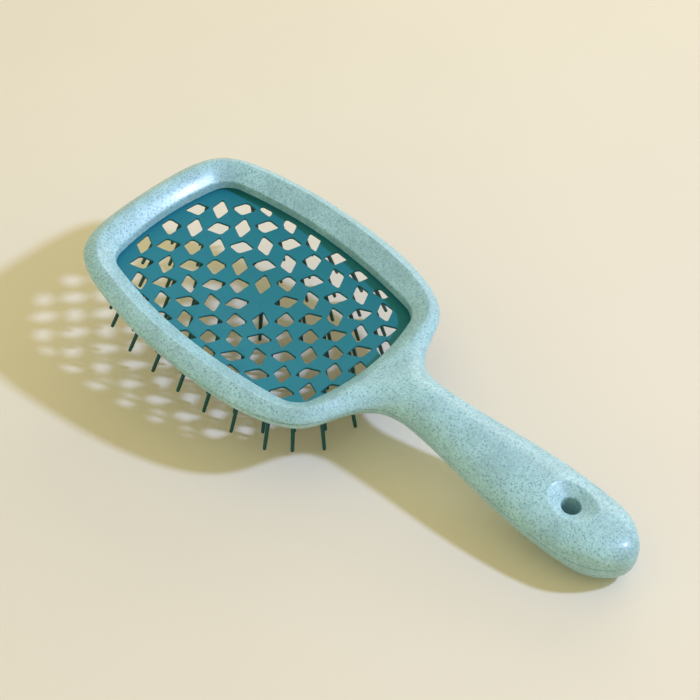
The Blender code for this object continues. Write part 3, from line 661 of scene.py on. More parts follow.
def build_front_shell():
    """The half on the pins' side: rounded belly, lip round the pad and the ledge that carries its rim."""
    bm = bmesh.new()
    shoulder, opening = window_rail(LIP_SHOULDER), window_rail(FRONT_WINDOW_EXTRA)
    ledge = window_rail(PAD_RIM + 2 * PART_GAP)
    start, row = seam_rows(bm, FRONT_SEAM_Z, -1)
    row = lay_skin(bm, row, RAIL, inner_rail(shoulder), wall_shares(), front_z)

    def lipped(x, y):
        past = gap_to(WINDOW, x, y) - FRONT_WINDOW_EXTRA
        return front_z(x, y) + LIP_NOSE * (1 - rounded(past / LIP_NOSE))

    def roof(x, y):
        roof_z = front_z(x, y) + SHELL_WALL
        return np.where(x < LEDGE_END, np.maximum(roof_z, LEDGE_Z + LEDGE_LEAST), roof_z)

    # Lip from the belly to the opening, then the ledge round it
    band = lay_skin(bm, row[HEAD], shoulder, opening, LIP_SHARES, lipped)
    for rail, z in ((opening, LEDGE_Z), (ledge, LEDGE_Z), (ledge, roof(*ledge.T))):
        band = draw_on(bm, band, rail, z)

    # Mouth of the hang hole, which takes the back shell's sleeve
    mouth = HOLE_RADIUS + SLEEVE_WALL + SLEEVE_GAP
    hole = row[PATCH]
    for share in MOUTH_SHARES:
        places = ring(mouth + share * MOUTH_NOSE)
        hole = draw_on(bm, hole, places, front_z(*places.T) + MOUTH_NOSE * (1 - rounded(share)))
    collar = mouth + MOUTH_WALL
    hole = draw_rings(bm, hole, ((mouth, FRONT_SEAM_Z - MOUTH_STEP), (mouth, FRONT_SEAM_Z),
                                 (collar, FRONT_SEAM_Z), (collar, FRONT_SEAM_Z - MOUTH_FOOT)))
    patch = ring(PATCH_RADIUS)
    draw_on(bm, hole, patch, roof(*patch.T))
    lay_hollow(bm, start, ledge, roof)
    close_shell(bm, "front_shell_skin")
    return bm


# Pad and pins

def pad_z(x, y):
    """Middle of the pad's thickness: bowed towards the hair, and level at its rim."""
    reach = np.where(x < 0, WINDOW_FAR_REACH, WINDOW_NEAR_REACH)
    along, across = np.minimum((x / reach) ** 2, 1.0), np.minimum((y / WINDOW_HALF_WIDTH) ** 2, 1.0)
    return PIN_REACH + PAD_BOW * (1 - (1 - along) * (1 - across))


def hole_corners(column, row):
    """One hole of the net: odd rows lean outwards from the pad's middle, even rows inwards."""
    x, y = column * LATTICE_X, row * LATTICE_Y
    side, end = (1 if row > 0 else -1), (1 if column > 0 else -1)
    flare_x = flare_y = lean_x = lean_y = 0.0
    if column == 0:
        flare_x = -side * HOLE_FLARE
    elif row == 0:
        flare_y = -end * HOLE_FLARE
    elif abs(column) > UPRIGHT_SHARES[row % 2] * abs(row) or abs(column) + abs(row) == 2:
        lean_y = side * end * (HOLE_SKEW if row % 2 else -HOLE_SKEW)
    else:
        lean_x = side * end * (HOLE_SKEW if row % 2 else -HOLE_SKEW)
    return [(x + i * (HOLE_HALF_X + j * flare_x) + j * lean_x,
             y + j * (HOLE_HALF_Y + i * flare_y) + i * lean_y)
            for i, j in ((-1, -1), (1, -1), (1, 1), (-1, 1))]


def trimmed(points, limit):
    """The part of a convex loop inside a convex loop."""
    kept = list(points)
    for (ax, ay), (bx, by) in zip(limit, limit[1:] + limit[:1]):
        result = []
        for (px, py), (qx, qy) in zip(kept, kept[1:] + kept[:1]):
            p_in = (bx - ax) * (py - ay) - (by - ay) * (px - ax)
            q_in = (bx - ax) * (qy - ay) - (by - ay) * (qx - ax)
            if p_in >= 0:
                result.append((px, py))
            if (p_in >= 0) != (q_in >= 0):
                t = p_in / (p_in - q_in)
                result.append((px + t * (qx - px), py + t * (qy - py)))
        kept = result
        if not kept:
            break
    return kept


def net_holes():
    """All holes of the net, with rounded corners, cut short where the frame covers them."""
    limit = [tuple(place) for place in window_loop(LIMIT_POINTS, -HOLE_MARGIN)]
    least = LEAST_HOLE_SHARE * 4 * HOLE_HALF_X * HOLE_HALF_Y
    corner = bpy.context.scene.brush_pad.hole_corner
    holes = []
    for row in range(-ROWS, ROWS + 1):
        for column in range(-COLUMNS - 1, COLUMNS + 2):
            if (row + column) % 2 or (row == 0 and column == 0):
                continue
            hole = trimmed(hole_corners(column, row), limit)
            area = abs(sum(a[0] * b[1] - b[0] * a[1] for a, b in zip(hole, hole[1:] + hole[:1]))) / 2
            if len(hole) > 2 and area > least:
                before = hole[-1:] + hole
                hole = [a for a, b in zip(hole, before) if np.hypot(a[0] - b[0], a[1] - b[1]) > SHORTEST_SIDE]
                holes.append(round_hole(hole, corner))
    return holes


def round_hole(points, softness):
    """A hole's loop with its corners rounded, by a vertex bevel on its face."""
    bm = bmesh.new()
    bm.faces.new([bm.verts.new((x, y, 0.0)) for x, y in points])
    sharp = []
    for vert in bm.verts:
        a, b = [(e.other_vert(vert).co - vert.co) for e in vert.link_edges]
        if a.angle(b) < FLAT_CORNER:
            sharp.append(vert)
    bmesh.ops.bevel(bm, geom=sharp, offset=softness, offset_type="OFFSET", segments=3, profile=0.5,
                    affect="VERTICES", clamp_overlap=True, material=-1)
    bmesh.ops.remove_doubles(bm, verts=bm.verts, dist=HOLE_WELD)
    face = bm.faces[:][0]
    face.normal_update()
    loop = [tuple(v.co.xy) for v in face.verts]
    if face.normal.z < 0:
        loop.reverse()
    bm.free()
    return np.array(loop)


def swell_loop(loop, distance):
    """Move an anticlockwise loop outwards."""
    step = np.roll(loop, -1, 0) - np.roll(loop, 1, 0)
    step /= np.hypot(*step.T)[:, None]
    return loop + distance * np.column_stack([step[:, 1], -step[:, 0]])


def loop_row(bm, loop, z):
    """A closed row of vertices joined by edges."""
    row = [bm.verts.new((x, y, h)) for (x, y), h in zip(loop, z)]
    for pair in zip(row, row[1:] + row[:1]):
        bm.edges.new(pair)
    return row


def draw_loops(bm, row, steps):
    """Extrude a closed row over loops, each with its heights."""
    for loop, z in steps:
        row = draw_on(bm, row, loop, z, closed=True)
    return row


def fill_plate(bm, rows):
    """Fill the region between an outer closed row and the rows of holes in it."""
    edges = [bm.edges.get(pair) for row in rows for pair in zip(row, row[1:] + row[:1])]
    heights = {v: v.co.z for row in rows for v in row}
    for v in heights:
        v.co.z = 0.0
    bmesh.ops.triangle_fill(bm, use_beauty=True, use_dissolve=False, edges=edges, normal=(0, 0, 1))
    for v, z in heights.items():
        v.co.z = z


def turned_mesh(name, profile, sides):
    """A mesh of a closed profile of radii and heights, spun about the Z axis."""
    bm = bmesh.new()
    verts = [bm.verts.new((radius, 0.0, z)) for radius, z in profile]
    edges = [bm.edges.new(pair) for pair in zip(verts, verts[1:])]
    bmesh.ops.spin(bm, geom=verts + edges, cent=(0, 0, 0), axis=(0, 0, 1), dvec=(0, 0, 0), angle=2 * pi,
                   steps=sides, use_merge=True, use_duplicate=False)
    bmesh.ops.remove_doubles(bm, verts=bm.verts, dist=WELD)
    return new_mesh(name, bm)


def add_copies(bm, mesh, places):
    """Add a copy of a mesh for each matrix, then remove the mesh."""
    for place in places:
        known = len(bm.verts)
        bm.from_mesh(mesh)
        bm.verts.ensure_lookup_table()
        bmesh.ops.transform(bm, matrix=place, verts=bm.verts[known:])
    bpy.data.meshes.remove(mesh)


def build_pad_net():
    """The perforated pad: softened hole edges, a rim in the shells' groove and a gate mark."""
    bm = bmesh.new()
    soft, half = bpy.context.scene.brush_pad.hole_edge, PAD_THICKNESS / 2
    floor = NET_BOTTOM + BACKING_THICKNESS
    top, under = [], []
    for hole in net_holes():
        level, wide, middling = pad_z(*hole.T), swell_loop(hole, soft), swell_loop(hole, EDGE_SHARE * soft)
        top.append(loop_row(bm, wide, pad_z(*wide.T) + NET_TOP))
        under.append(draw_loops(bm, top[-1], ((middling, level + NET_TOP - EDGE_SHARE * soft),
                                              (hole, level + NET_TOP - soft), (hole, level + floor))))

    # From the rim's top edge round under it to the net, and over it to the net's upper face
    rim, recess, slot = (window_loop(RIM_POINTS, extra) for extra in (PAD_RIM, NET_RECESS, NET_SLOT))
    rim_z, recess_z, slot_z = (pad_z(*loop.T) for loop in (rim, recess, slot))
    outer = loop_row(bm, rim, rim_z + half)
    edge = draw_loops(bm, outer, ((rim, rim_z - half), (recess, recess_z - half), (recess, recess_z + floor)))
    step = draw_loops(bm, outer, ((slot, slot_z + half), (slot, slot_z + NET_TOP)))
    fill_plate(bm, [step] + top)
    fill_plate(bm, [edge] + under)
    mark = [(radius * MM, PIN_REACH + NET_TOP + z * MM) for radius, z in GATE_MARK]
    add_copies(bm, turned_mesh("gate_mark", mark, GATE_SIDES), [Matrix.Identity(4)])
    bmesh.ops.recalc_face_normals(bm, faces=bm.faces)
    check_closed(bm, "pad_net_skin")
    return bm


def pin_places():
    """Roots of the pins: the solid knots of the net, and its middle."""
    places = [(0.0, 0.0)]
    for row in range(-ROWS, ROWS + 1):
        for column in range(-COLUMNS, COLUMNS + 1):
            x, y = column * LATTICE_X, row * LATTICE_Y
            side = float(window_room(x, y)[0]) - PIN_MARGIN
            if (row + column) % 2 == 0 or abs(y) > side + LATTICE_Y / 2:
                continue
            y = min(max(y, -side), side)
            end = float(window_room(x, y)[1]) - PIN_MARGIN
            x = min(max(x, -end), end)
            inside = np.hypot(x, y) < np.hypot(*window_at([np.arctan2(y, x)])[0])
            if inside and gap_to(WINDOW, x, y) > PIN_MARGIN * PIN_ROOM_SHARE:
                places.append((x, y))
    return places


def pin_matrix(x, y):
    """Place of a pin: square to the bowed pad, splayed outwards a little more, and longer far out."""
    reach = WINDOW_FAR_REACH if x < 0 else WINDOW_NEAR_REACH
    along, across = x / reach, y / WINDOW_HALF_WIDTH
    slope_x = 2 * PAD_BOW * along / reach * max(1 - across ** 2, 0.0)
    slope_y = 2 * PAD_BOW * across / WINDOW_HALF_WIDTH * max(1 - along ** 2, 0.0)
    axis = Vector((slope_x + END_SPLAY_SHARE * x / HEAD_REACH,
                   slope_y + SIDE_SPLAY_SHARE * y / HEAD_HALF_WIDTH, -1.0))
    turn = axis.normalized().to_track_quat("Z", "Y").to_matrix().to_4x4()
    growth = 1 + FAR_PIN_GROWTH * min(max(-x / GROWTH_RUN, 0.0), 1.0)
    return Matrix.Translation((x, y, float(pad_z(x, y)))) @ turn @ Matrix.Diagonal((1, 1, growth, 1))


def build_pins():
    """Blunt round pins on the thin lattice that they are moulded with."""
    settings = bpy.context.scene.brush_pins
    bm = bmesh.new()
    high = NET_BOTTOM + BACKING_THICKNESS + LATTICE_OVERLAP
    top, under = [], []
    for hole in net_holes():
        hole = swell_loop(hole, LATTICE_RELIEF)
        level = pad_z(*hole.T)
        top.append(loop_row(bm, hole, level + high))
        under.append(draw_loops(bm, top[-1], ((hole, level + NET_BOTTOM + LATTICE_NICK),
                                              (swell_loop(hole, LATTICE_NICK), level + NET_BOTTOM))))
    outer = window_loop(RIM_POINTS, -LATTICE_INSET)
    rim = loop_row(bm, outer, pad_z(*outer.T) + high)
    edge = draw_loops(bm, rim, ((outer, pad_z(*outer.T) + NET_BOTTOM),))
    fill_plate(bm, [rim] + top)
    fill_plate(bm, [edge] + under)

    profile = [(settings.root_radius * share, rise * MM) for share, rise in PIN_ROOT]
    profile += [(settings.tip_radius * share, PIN_REACH - short * MM) for share, short in PIN_TIP]
    mould = turned_mesh("pin_mould", profile, settings.sides)
    add_copies(bm, mould, [pin_matrix(x, y) for x, y in pin_places()])
    bmesh.ops.recalc_face_normals(bm, faces=bm.faces)
    check_closed(bm, "pins_skin")
    return bm


# Materials

def feed(tree, node, *first, **named):
    """Set a node's first inputs, and settings and inputs by name, to values or link them to sockets."""
    for name in [name for name in named if hasattr(node, name)]:
        setattr(node, name, named.pop(name))
    pairs = list(zip(node.inputs, first))
    pairs += [(node.inputs[name.replace("_", " ")], value) for name, value in named.items()]
    for socket, value in pairs:
        if isinstance(value, bpy.types.NodeSocket):
            tree.links.new(value, socket)
        else:
            socket.default_value = value
    return node


def new_node(tree, kind, place, *first, **named):
    """A node at its place in the editor, fed as above."""
    node = tree.nodes.new(kind)
    node.location = place
    return feed(tree, node, *first, **named)


def maths(tree, place, operation, *values):
    """The result of a Math node."""
    return new_node(tree, "ShaderNodeMath", place, *values, operation=operation).outputs[0]


def noise(tree, place, where, scale, detail, roughness):
    """Noise on the piece's own coordinates."""
    return new_node(tree, "ShaderNodeTexNoise", place, where, Scale=scale, Detail=detail,
                    Roughness=roughness).outputs["Fac"]


def ranged(tree, place, value, start, end):
    """A value moved from one range to another."""
    return new_node(tree, "ShaderNodeMapRange", place, value, From_Min=start[0], From_Max=start[1],
                    To_Min=end[0], To_Max=end[1]).outputs["Result"]


def new_group(name, inputs, outputs):
    """A node group with named sockets: its tree, its inputs' sockets, its output node and its coordinates."""
    tree = bpy.data.node_groups.new(name, "ShaderNodeTree")
    for in_out, sockets in (("INPUT", inputs), ("OUTPUT", outputs)):
        for label, kind in sockets:
            tree.interface.new_socket(label, in_out=in_out, socket_type=kind)
    given = new_node(tree, "NodeGroupInput", (-1400, 0))
    out = new_node(tree, "NodeGroupOutput", (1000, 0))
    where = new_node(tree, "ShaderNodeTexCoord", (-1400, 300))
    return tree, given.outputs, out, where.outputs["Object"]


COLOUR, NUMBER = "NodeSocketColor", "NodeSocketFloat"

# Three layers of flecks, long and sparse, middling, and fine dust: cells per metre, turn, squeeze,
# reach in a cell, and softness
FLECK_LAYERS = ((900.0, (0.3, 0.2, 0.5), (1.0, 0.6, 1.0), 0.24, 0.16),
                (1250.0, (0.1, 0.5, 1.3), (0.65, 1.0, 1.0), 0.30, 0.18),
                (1800.0, (0.7, 0.1, 2.2), (1.0, 0.8, 1.0), 0.34, 0.20))


def straw_fleck_group():
    """Dark and pale flecks of straw in a translucent plastic, with a mask for them and a fine height."""
    tree, given, out, where = new_group(
        "Straw flecks", (("Base", COLOUR), ("Fleck", COLOUR), ("Size", NUMBER), ("Amount", NUMBER)),
        (("Color", COLOUR), ("Mask", NUMBER), ("Height", NUMBER)))
    masks = []
    for k, (scale, turn, squeeze, cut, soft) in enumerate(FLECK_LAYERS):
        y = 400 - 300 * k
        turned = new_node(tree, "ShaderNodeMapping", (-1150, y), where, Rotation=turn, Scale=squeeze)
        fineness = maths(tree, (-900, y + 160), "MULTIPLY", given["Size"], scale)
        cells = new_node(tree, "ShaderNodeTexVoronoi", (-900, y), turned.outputs["Vector"], feature="F1",
                         Scale=fineness, Randomness=1.0).outputs
        spot = new_node(tree, "ShaderNodeMapRange", (-700, y), cells["Distance"], From_Min=cut + soft,
                        From_Max=cut - soft * 0.4, interpolation_type="SMOOTHSTEP").outputs["Result"]
        pick = new_node(tree, "ShaderNodeSeparateColor", (-700, y - 150), cells["Color"]).outputs
        chosen = maths(tree, (-500, y - 150), "LESS_THAN", pick["Red"], given["Amount"])
        spot = maths(tree, (-320, y - 50), "MULTIPLY", spot, chosen)
        masks.append(maths(tree, (-140, y - 50), "MULTIPLY", spot, pick["Green"]))
    mask = maths(tree, (60, 250), "MAXIMUM", masks[0], masks[1])
    mask = maths(tree, (220, 150), "MAXIMUM", mask, masks[2])
    cloud = noise(tree, (-140, -600), where, 95.0, 4.0, 0.6)
    milky = ranged(tree, (60, -600), cloud, (0.35, 0.65), (0.86, 1.08))
    grit = noise(tree, (-140, -850), where, 850.0, 2.0, 0.6)
    speckle = ranged(tree, (60, -850), grit, (0.3, 0.7), (0.9, 1.1))
    tone = maths(tree, (160, -450), "MULTIPLY", milky, speckle)
    lighter = new_node(tree, "ShaderNodeHueSaturation", (260, -300), Color=given["Base"], Value=tone)
    tinted = new_node(tree, "ShaderNodeMix", (520, 0), data_type="RGBA", Factor=mask,
                      A=lighter.outputs["Color"], B=given["Fleck"])
    uneven = noise(tree, (260, -650), where, 260.0, 2.0, 0.5)
    feed(tree, out, Color=tinted.outputs["Result"], Mask=mask,
         Height=maths(tree, (700, -500), "SUBTRACT", uneven, mask))
    return tree


def mould_skin_group():
    """Slight mottling and a fine satin grain of moulded rubber."""
    tree, given, out, where = new_group("Mould skin", (("Base", COLOUR), ("Variation", NUMBER)),
                                        (("Color", COLOUR), ("Shine", NUMBER), ("Height", NUMBER)))
    cloud = noise(tree, (-650, 300), where, 60.0, 3.0, 0.55)
    centred = maths(tree, (-450, 300), "SUBTRACT", cloud, 0.5)
    tone = maths(tree, (-250, 300), "MULTIPLY_ADD", centred, given["Variation"], 1.0)
    toned = new_node(tree, "ShaderNodeHueSaturation", (0, 100), Color=given["Base"], Value=tone)
    feed(tree, out, Color=toned.outputs["Color"],
         Shine=ranged(tree, (0, -150), cloud, (0.3, 0.7), (0.48, 0.62)),
         Height=noise(tree, (-650, -200), where, 1400.0, 2.0, 0.5))
    return tree


def shared_group(tree, name, builder, **values):
    """The outputs of a node group, which is built the first time it is asked for."""
    group = bpy.data.node_groups.get(name) or builder()
    return new_node(tree, "ShaderNodeGroup", (-700, 0), node_tree=group, **values).outputs


def new_material(name):
    """A material with nodes, with its tree and its Principled shader."""
    material = bpy.data.materials.new(name)
    material.use_nodes = True
    return material, material.node_tree, material.node_tree.nodes["Principled BSDF"]


def bump(tree, height, strength, distance):
    """The normal of a fine relief."""
    return new_node(tree, "ShaderNodeBump", (-400, -500), Height=height, Strength=strength,
                    Distance=distance).outputs["Normal"]


def shell_material(name, base, fleck):
    """Glossy plastic filled with straw flecks."""
    material, tree, shader = new_material(name)
    flecks = shared_group(tree, "Straw flecks", straw_fleck_group, Base=(*base, 1.0), Fleck=(*fleck, 1.0),
                          Size=1.0, Amount=bpy.context.scene.brush_shells.fleck_amount)
    feed(tree, shader, Base_Color=flecks["Color"],
         Roughness=ranged(tree, (-400, -200), flecks["Mask"], (0.0, 1.0), (0.36, 0.50)),
         Normal=bump(tree, flecks["Height"], 0.12, 0.08 * MM),
         IOR=1.5, Coat_Weight=0.26, Coat_Roughness=0.2)
    return material


def rubber_material(name, base, variation, grain):
    """Satin elastomer."""
    material, tree, shader = new_material(name)
    skin = shared_group(tree, "Mould skin", mould_skin_group, Base=(*base, 1.0), Variation=variation)
    feed(tree, shader, Base_Color=skin["Color"], Roughness=skin["Shine"],
         Normal=bump(tree, skin["Height"], grain, 0.04 * MM), IOR=1.45, Specular_IOR_Level=0.25)
    return material


def floor_material(colour):
    """Pale matt card with a faint unevenness."""
    material, tree, shader = new_material("cream_card")
    where = new_node(tree, "ShaderNodeTexCoord", (-900, 0)).outputs["Object"]
    tone = ranged(tree, (-500, 0), noise(tree, (-700, 0), where, 9.0, 3.0, 0.5), (0.3, 0.7), (0.985, 1.015))
    toned = new_node(tree, "ShaderNodeHueSaturation", (-300, 0), Color=(*colour, 1.0), Value=tone)
    feed(tree, shader, Base_Color=toned.outputs["Color"], Roughness=0.85, Specular_IOR_Level=0.15)
    return material


# Settings

class BrushShellSettings(bpy.types.PropertyGroup):
    """Sizes and colours of the two shells."""
    crest_softness: FloatProperty(name="Crest softness",
                                  description="Rounding of the line between wall and band",
                                  default=0.15 * MM, min=0.05 * MM, max=3 * MM, unit="LENGTH")
    window_softness: FloatProperty(name="Window edge",
                                   description="Rounding of the band's edge at the window",
                                   default=0.45 * MM, min=0.1 * MM, max=2 * MM, unit="LENGTH")
    dish_softness: FloatProperty(name="Dish edge",
                                 description="Rounding of the edge of the dish round the hang hole",
                                 default=0.12 * MM, min=0.01 * MM, max=1 * MM, unit="LENGTH")
    seam_chamfer: FloatProperty(name="Seam chamfer", description="Chamfer of both shells along the seam",
                                default=0.13 * MM, min=0.02 * MM, max=0.5 * MM, unit="LENGTH")
    fleck_amount: FloatProperty(name="Flecks", description="Share of the cells that hold a straw fleck",
                                default=0.72, min=0.0, max=1.0, subtype="FACTOR")
    back_colour: FloatVectorProperty(name="Back", description="Plastic of the back shell",
                                     default=(0.365, 0.61, 0.64), min=0.0, max=1.0, subtype="COLOR")
    front_colour: FloatVectorProperty(name="Front", description="Plastic of the front shell",
                                      default=(0.36, 0.585, 0.60), min=0.0, max=1.0, subtype="COLOR")
    fleck_colour: FloatVectorProperty(name="Fleck", description="Straw flecks in the plastic",
                                      default=(0.17, 0.36, 0.39), min=0.0, max=1.0, subtype="COLOR")


class BrushPadSettings(bpy.types.PropertyGroup):
    """Sizes and colour of the perforated pad."""
    hole_corner: FloatProperty(name="Hole corner", description="Rounding of a hole's corners",
                               default=1.0 * MM, min=0.05 * MM, max=1.5 * MM, unit="LENGTH")
    hole_edge: FloatProperty(name="Hole edge", description="Softness of a hole's upper edge",
                             default=0.15 * MM, min=0.02 * MM, max=0.4 * MM, unit="LENGTH")
    colour: FloatVectorProperty(name="Pad", description="Elastomer of the pad",
                                default=(0.016, 0.195, 0.24), min=0.0, max=1.0, subtype="COLOR")


class BrushPinSettings(bpy.types.PropertyGroup):
    """Sizes and colour of the pins."""
    root_radius: FloatProperty(name="Root radius", description="Radius of a pin near the pad",
                               default=0.8 * MM, min=0.4 * MM, max=1.5 * MM, unit="LENGTH")
    tip_radius: FloatProperty(name="Tip radius", description="Radius of a pin near its tip",
                              default=0.6 * MM, min=0.3 * MM, max=1.2 * MM, unit="LENGTH")
    sides: IntProperty(name="Sides", description="Faces round a pin", default=10, min=6, max=16)
    # Painted shade: the pins' colour is the pad's elastomer made much darker and greener
    colour: FloatVectorProperty(name="Pins", description="Elastomer of the pins",
                                default=(0.012, 0.085, 0.08), min=0.0, max=1.0, subtype="COLOR")


class BrushStageSettings(bpy.types.PropertyGroup):
    """Floor, lamps and camera."""
    floor_colour: FloatVectorProperty(name="Floor", description="Card under the brush",
                                      default=(0.8, 0.74, 0.605), min=0.0, max=1.0, subtype="COLOR")
    lamp_power: FloatProperty(name="Key lamp", description="Power of the lamp that casts the shadow",
                              default=8.0, min=0.0, max=100.0, unit="POWER")
    fill_power: FloatProperty(name="Low fills",
                              description="Power of the broad lamp on the far side; the near one has half",
                              default=2.0, min=0.0, max=100.0, unit="POWER")
    sky_strength: FloatProperty(name="Fill", description="Strength of the even light from all round",
                                default=0.67, min=0.0, max=2.0)
    lens: FloatProperty(name="Lens", description="Focal length of the camera",
                        default=82.481, min=20.0, max=300.0, unit="CAMERA")


# Operators

class BRUSH_OT_back_shell(bpy.types.Operator):
    """Build the back shell with its crest, band, skirt and hang hole"""
    bl_idname = "brush.back_shell"
    bl_label = "Back shell"

    def execute(self, context):
        settings = context.scene.brush_shells
        finish = shell_material("straw_plastic_back", settings.back_colour, settings.fleck_colour)
        shell = make_piece("back_shell_skin", build_back_shell(), finish, "back_shell")
        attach(shell, "shells")
        return {"FINISHED"}


class BRUSH_OT_front_shell(bpy.types.Operator):
    """Build the front shell with its belly, lip and ledge"""
    bl_idname = "brush.front_shell"
    bl_label = "Front shell"

    def execute(self, context):
        settings = context.scene.brush_shells
        finish = shell_material("straw_plastic_front", settings.front_colour, settings.fleck_colour)
        shell = make_piece("front_shell_skin", build_front_shell(), finish, "front_shell")
        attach(shell, "shells")
        return {"FINISHED"}


class BRUSH_OT_pad(bpy.types.Operator):
    """Build the perforated pad and its gate mark"""
    bl_idname = "brush.pad"
    bl_label = "Pad"

    def execute(self, context):
        finish = rubber_material("teal_elastomer", context.scene.brush_pad.colour, variation=0.25, grain=0.25)
        net = make_piece("pad_net_skin", build_pad_net(), finish, "pad_net", crease=20)
        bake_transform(net)
        return {"FINISHED"}


class BRUSH_OT_pins(bpy.types.Operator):
    """Build the pins on their thin lattice"""
    bl_idname = "brush.pins"
    bl_label = "Pins"

    def execute(self, context):
        # The pins and their lattice take the pad's elastomer darkened with painted shade, which also darkens
        # the lower part of the holes' walls
        finish = rubber_material("pin_elastomer_painted_shade", context.scene.brush_pins.colour, variation=0.3, grain=0.2)
        pins = make_piece("pins_skin", build_pins(), finish, "pin_bed", crease=50)
        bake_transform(pins)
        return {"FINISHED"}


# Stage

FLOOR_HALF = 500 * MM
FLOOR_SLOPE = 0.1488                # the brush rests on pin tips and on the handle
FLOOR_Z = -3.10 * MM
FLOOR_SHIFT = 30 * MM
KEY_PLACE, KEY_AIM = (346 * MM, 251 * MM, 487 * MM), (20 * MM, 0, 10 * MM)
KEY_SIZE = (50 * MM, 50 * MM)
KEY_COLOUR = (0.464, 0.569, 1.0)
FILL_AIM = (40 * MM, 0, 20 * MM)
FILL_SIZE = (900 * MM, 350 * MM)
FAR_FILL_PLACE, FAR_FILL_COLOUR = (-200 * MM, 800 * MM, 360 * MM), (1.0, 0.96, 0.84)
NEAR_FILL_PLACE, NEAR_FILL_COLOUR = (-350 * MM, -800 * MM, 140 * MM), (0.3, 0.76, 1.0)
SKY_COLOUR = (1.0, 0.89, 0.50, 1.0)
BACKGROUND_COLOUR = (0.86, 0.85, 0.82, 1.0)
CAMERA_PLACE = (245.695 * MM, -268.653 * MM, 428.471 * MM)
CAMERA_TURN = (40.0849, -4.3705, 42.6094)   # degrees about X, Y and Z
SENSOR_WIDTH = 36.0                 # millimetres, the camera's own unit


def build_floor():
    """A sloping sheet of card."""
    bm = bmesh.new()
    bmesh.ops.create_grid(bm, x_segments=8, y_segments=8, size=FLOOR_HALF)
    slope = Matrix(((1, 0, 0, 0), (0, 1, 0, FLOOR_SHIFT), (FLOOR_SLOPE, 0, 1, FLOOR_Z), (0, 0, 0, 1)))
    bmesh.ops.transform(bm, matrix=slope, verts=bm.verts)
    mesh = new_mesh("floor", bm)
    mesh.materials.append(floor_material(bpy.context.scene.brush_stage.floor_colour))
    new_object("floor", mesh)


def add_lamp(name, shape, size, colour, power, place, aim):
    """An area lamp that looks at a place; gives its data."""
    data = bpy.data.lights.new(name, "AREA")
    data.shape, data.color, data.energy = shape, colour, power
    data.size, data.size_y = size
    lamp = new_object(name, data)
    lamp.location = place
    lamp.rotation_euler = (Vector(aim) - Vector(place)).to_track_quat("-Z", "Y").to_euler()
    return data


def add_lamps(settings):
    """A small key lamp that keeps its strength over the whole brush, and two broad, low fills."""
    key = add_lamp("key_lamp", "DISK", KEY_SIZE, KEY_COLOUR, settings.lamp_power, KEY_PLACE, KEY_AIM)
    key.use_nodes = True
    even = new_node(key.node_tree, "ShaderNodeLightFalloff", (-200, 0), Strength=1.0)
    feed(key.node_tree, key.node_tree.nodes["Emission"], Strength=even.outputs["Constant"])
    for name, colour, power, place in (
            ("far_fill", FAR_FILL_COLOUR, settings.fill_power, FAR_FILL_PLACE),
            ("near_fill", NEAR_FILL_COLOUR, settings.fill_power / 2, NEAR_FILL_PLACE)):
        add_lamp(name, "RECTANGLE", FILL_SIZE, colour, power, place, FILL_AIM)


def soft_room(strength):
    """Even light from all round, behind which the camera and gloss see a pale background."""
    world = bpy.data.worlds.new("soft_room")
    world.use_nodes = True
    tree = world.node_tree
    fill = feed(tree, tree.nodes["Background"], Color=SKY_COLOUR, Strength=strength)
    seen = new_node(tree, "ShaderNodeBackground", (0, -200), Color=BACKGROUND_COLOUR, Strength=1.0)
    path = new_node(tree, "ShaderNodeLightPath", (-300, 200)).outputs
    shown = maths(tree, (0, 200), "MAXIMUM", path["Is Camera Ray"], path["Is Glossy Ray"])
    mix = new_node(tree, "ShaderNodeMixShader", (250, 0), shown, fill.outputs["Background"],
                   seen.outputs["Background"])
    feed(tree, tree.nodes["World Output"], Surface=mix.outputs["Shader"])
    return world


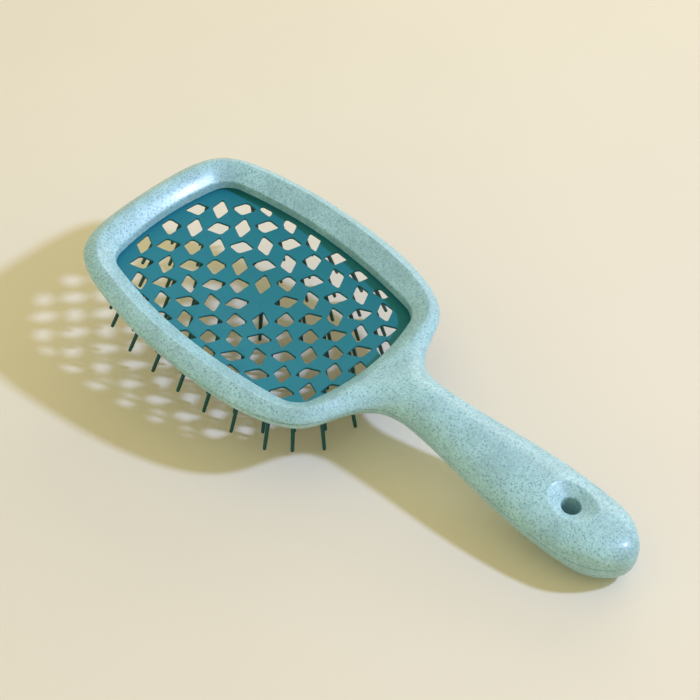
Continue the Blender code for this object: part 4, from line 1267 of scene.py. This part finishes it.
def photo_camera(lens):
    """A camera at the photograph's place and angle."""
    data = bpy.data.cameras.new("photo_view")
    data.sensor_width, data.lens = SENSOR_WIDTH, lens
    data.clip_start, data.clip_end = 10 * MM, 10.0
    camera = new_object("photo_view", data)
    turn = Euler([radians(angle) for angle in CAMERA_TURN])
    camera.matrix_world = Matrix.LocRotScale(CAMERA_PLACE, turn, None)
    return camera


class BRUSH_OT_stage(bpy.types.Operator):
    """Set up the floor, the lamps and the camera"""
    bl_idname = "brush.stage"
    bl_label = "Stage"

    def execute(self, context):
        scene, settings = context.scene, context.scene.brush_stage
        build_floor()
        add_lamps(settings)
        scene.world = soft_room(settings.sky_strength)
        scene.camera = photo_camera(settings.lens)
        scene.view_settings.view_transform = "Standard"
        return {"FINISHED"}


class BRUSH_PT_panel(bpy.types.Panel):
    """Vented paddle brush"""
    bl_idname = "BRUSH_PT_panel"
    bl_label = "Vented Paddle Brush"
    bl_space_type = "VIEW_3D"
    bl_region_type = "UI"
    bl_category = "Brush"

    def draw(self, context):
        scene, layout = context.scene, self.layout
        for settings, steps in ((scene.brush_shells, ("brush.back_shell", "brush.front_shell")),
                                (scene.brush_pad, ("brush.pad",)), (scene.brush_pins, ("brush.pins",)),
                                (scene.brush_stage, ("brush.stage",))):
            box = layout.box()
            for name in settings.__annotations__:
                box.prop(settings, name)
            for step in steps:
                box.operator(step)


SETTINGS = {"brush_shells": BrushShellSettings, "brush_pad": BrushPadSettings,
            "brush_pins": BrushPinSettings, "brush_stage": BrushStageSettings}
CLASSES = (*SETTINGS.values(), BRUSH_OT_back_shell, BRUSH_OT_front_shell, BRUSH_OT_pad, BRUSH_OT_pins,
           BRUSH_OT_stage, BRUSH_PT_panel)


def register():
    """Register the classes and hang the settings on the scene."""
    for made in CLASSES:
        bpy.utils.register_class(made)
    for name, settings in SETTINGS.items():
        setattr(bpy.types.Scene, name, PointerProperty(type=settings))


def unregister():
    """Take the settings and classes away again."""
    for name in SETTINGS:
        delattr(bpy.types.Scene, name)
    for made in reversed(CLASSES):
        bpy.utils.unregister_class(made)


def main():
    """Register, then build every piece and the stage in order."""
    register()
    bpy.ops.brush.back_shell()
    bpy.ops.brush.front_shell()
    bpy.ops.brush.pad()
    bpy.ops.brush.pins()
    bpy.ops.brush.stage()


if __name__ == "__main__":
    main()
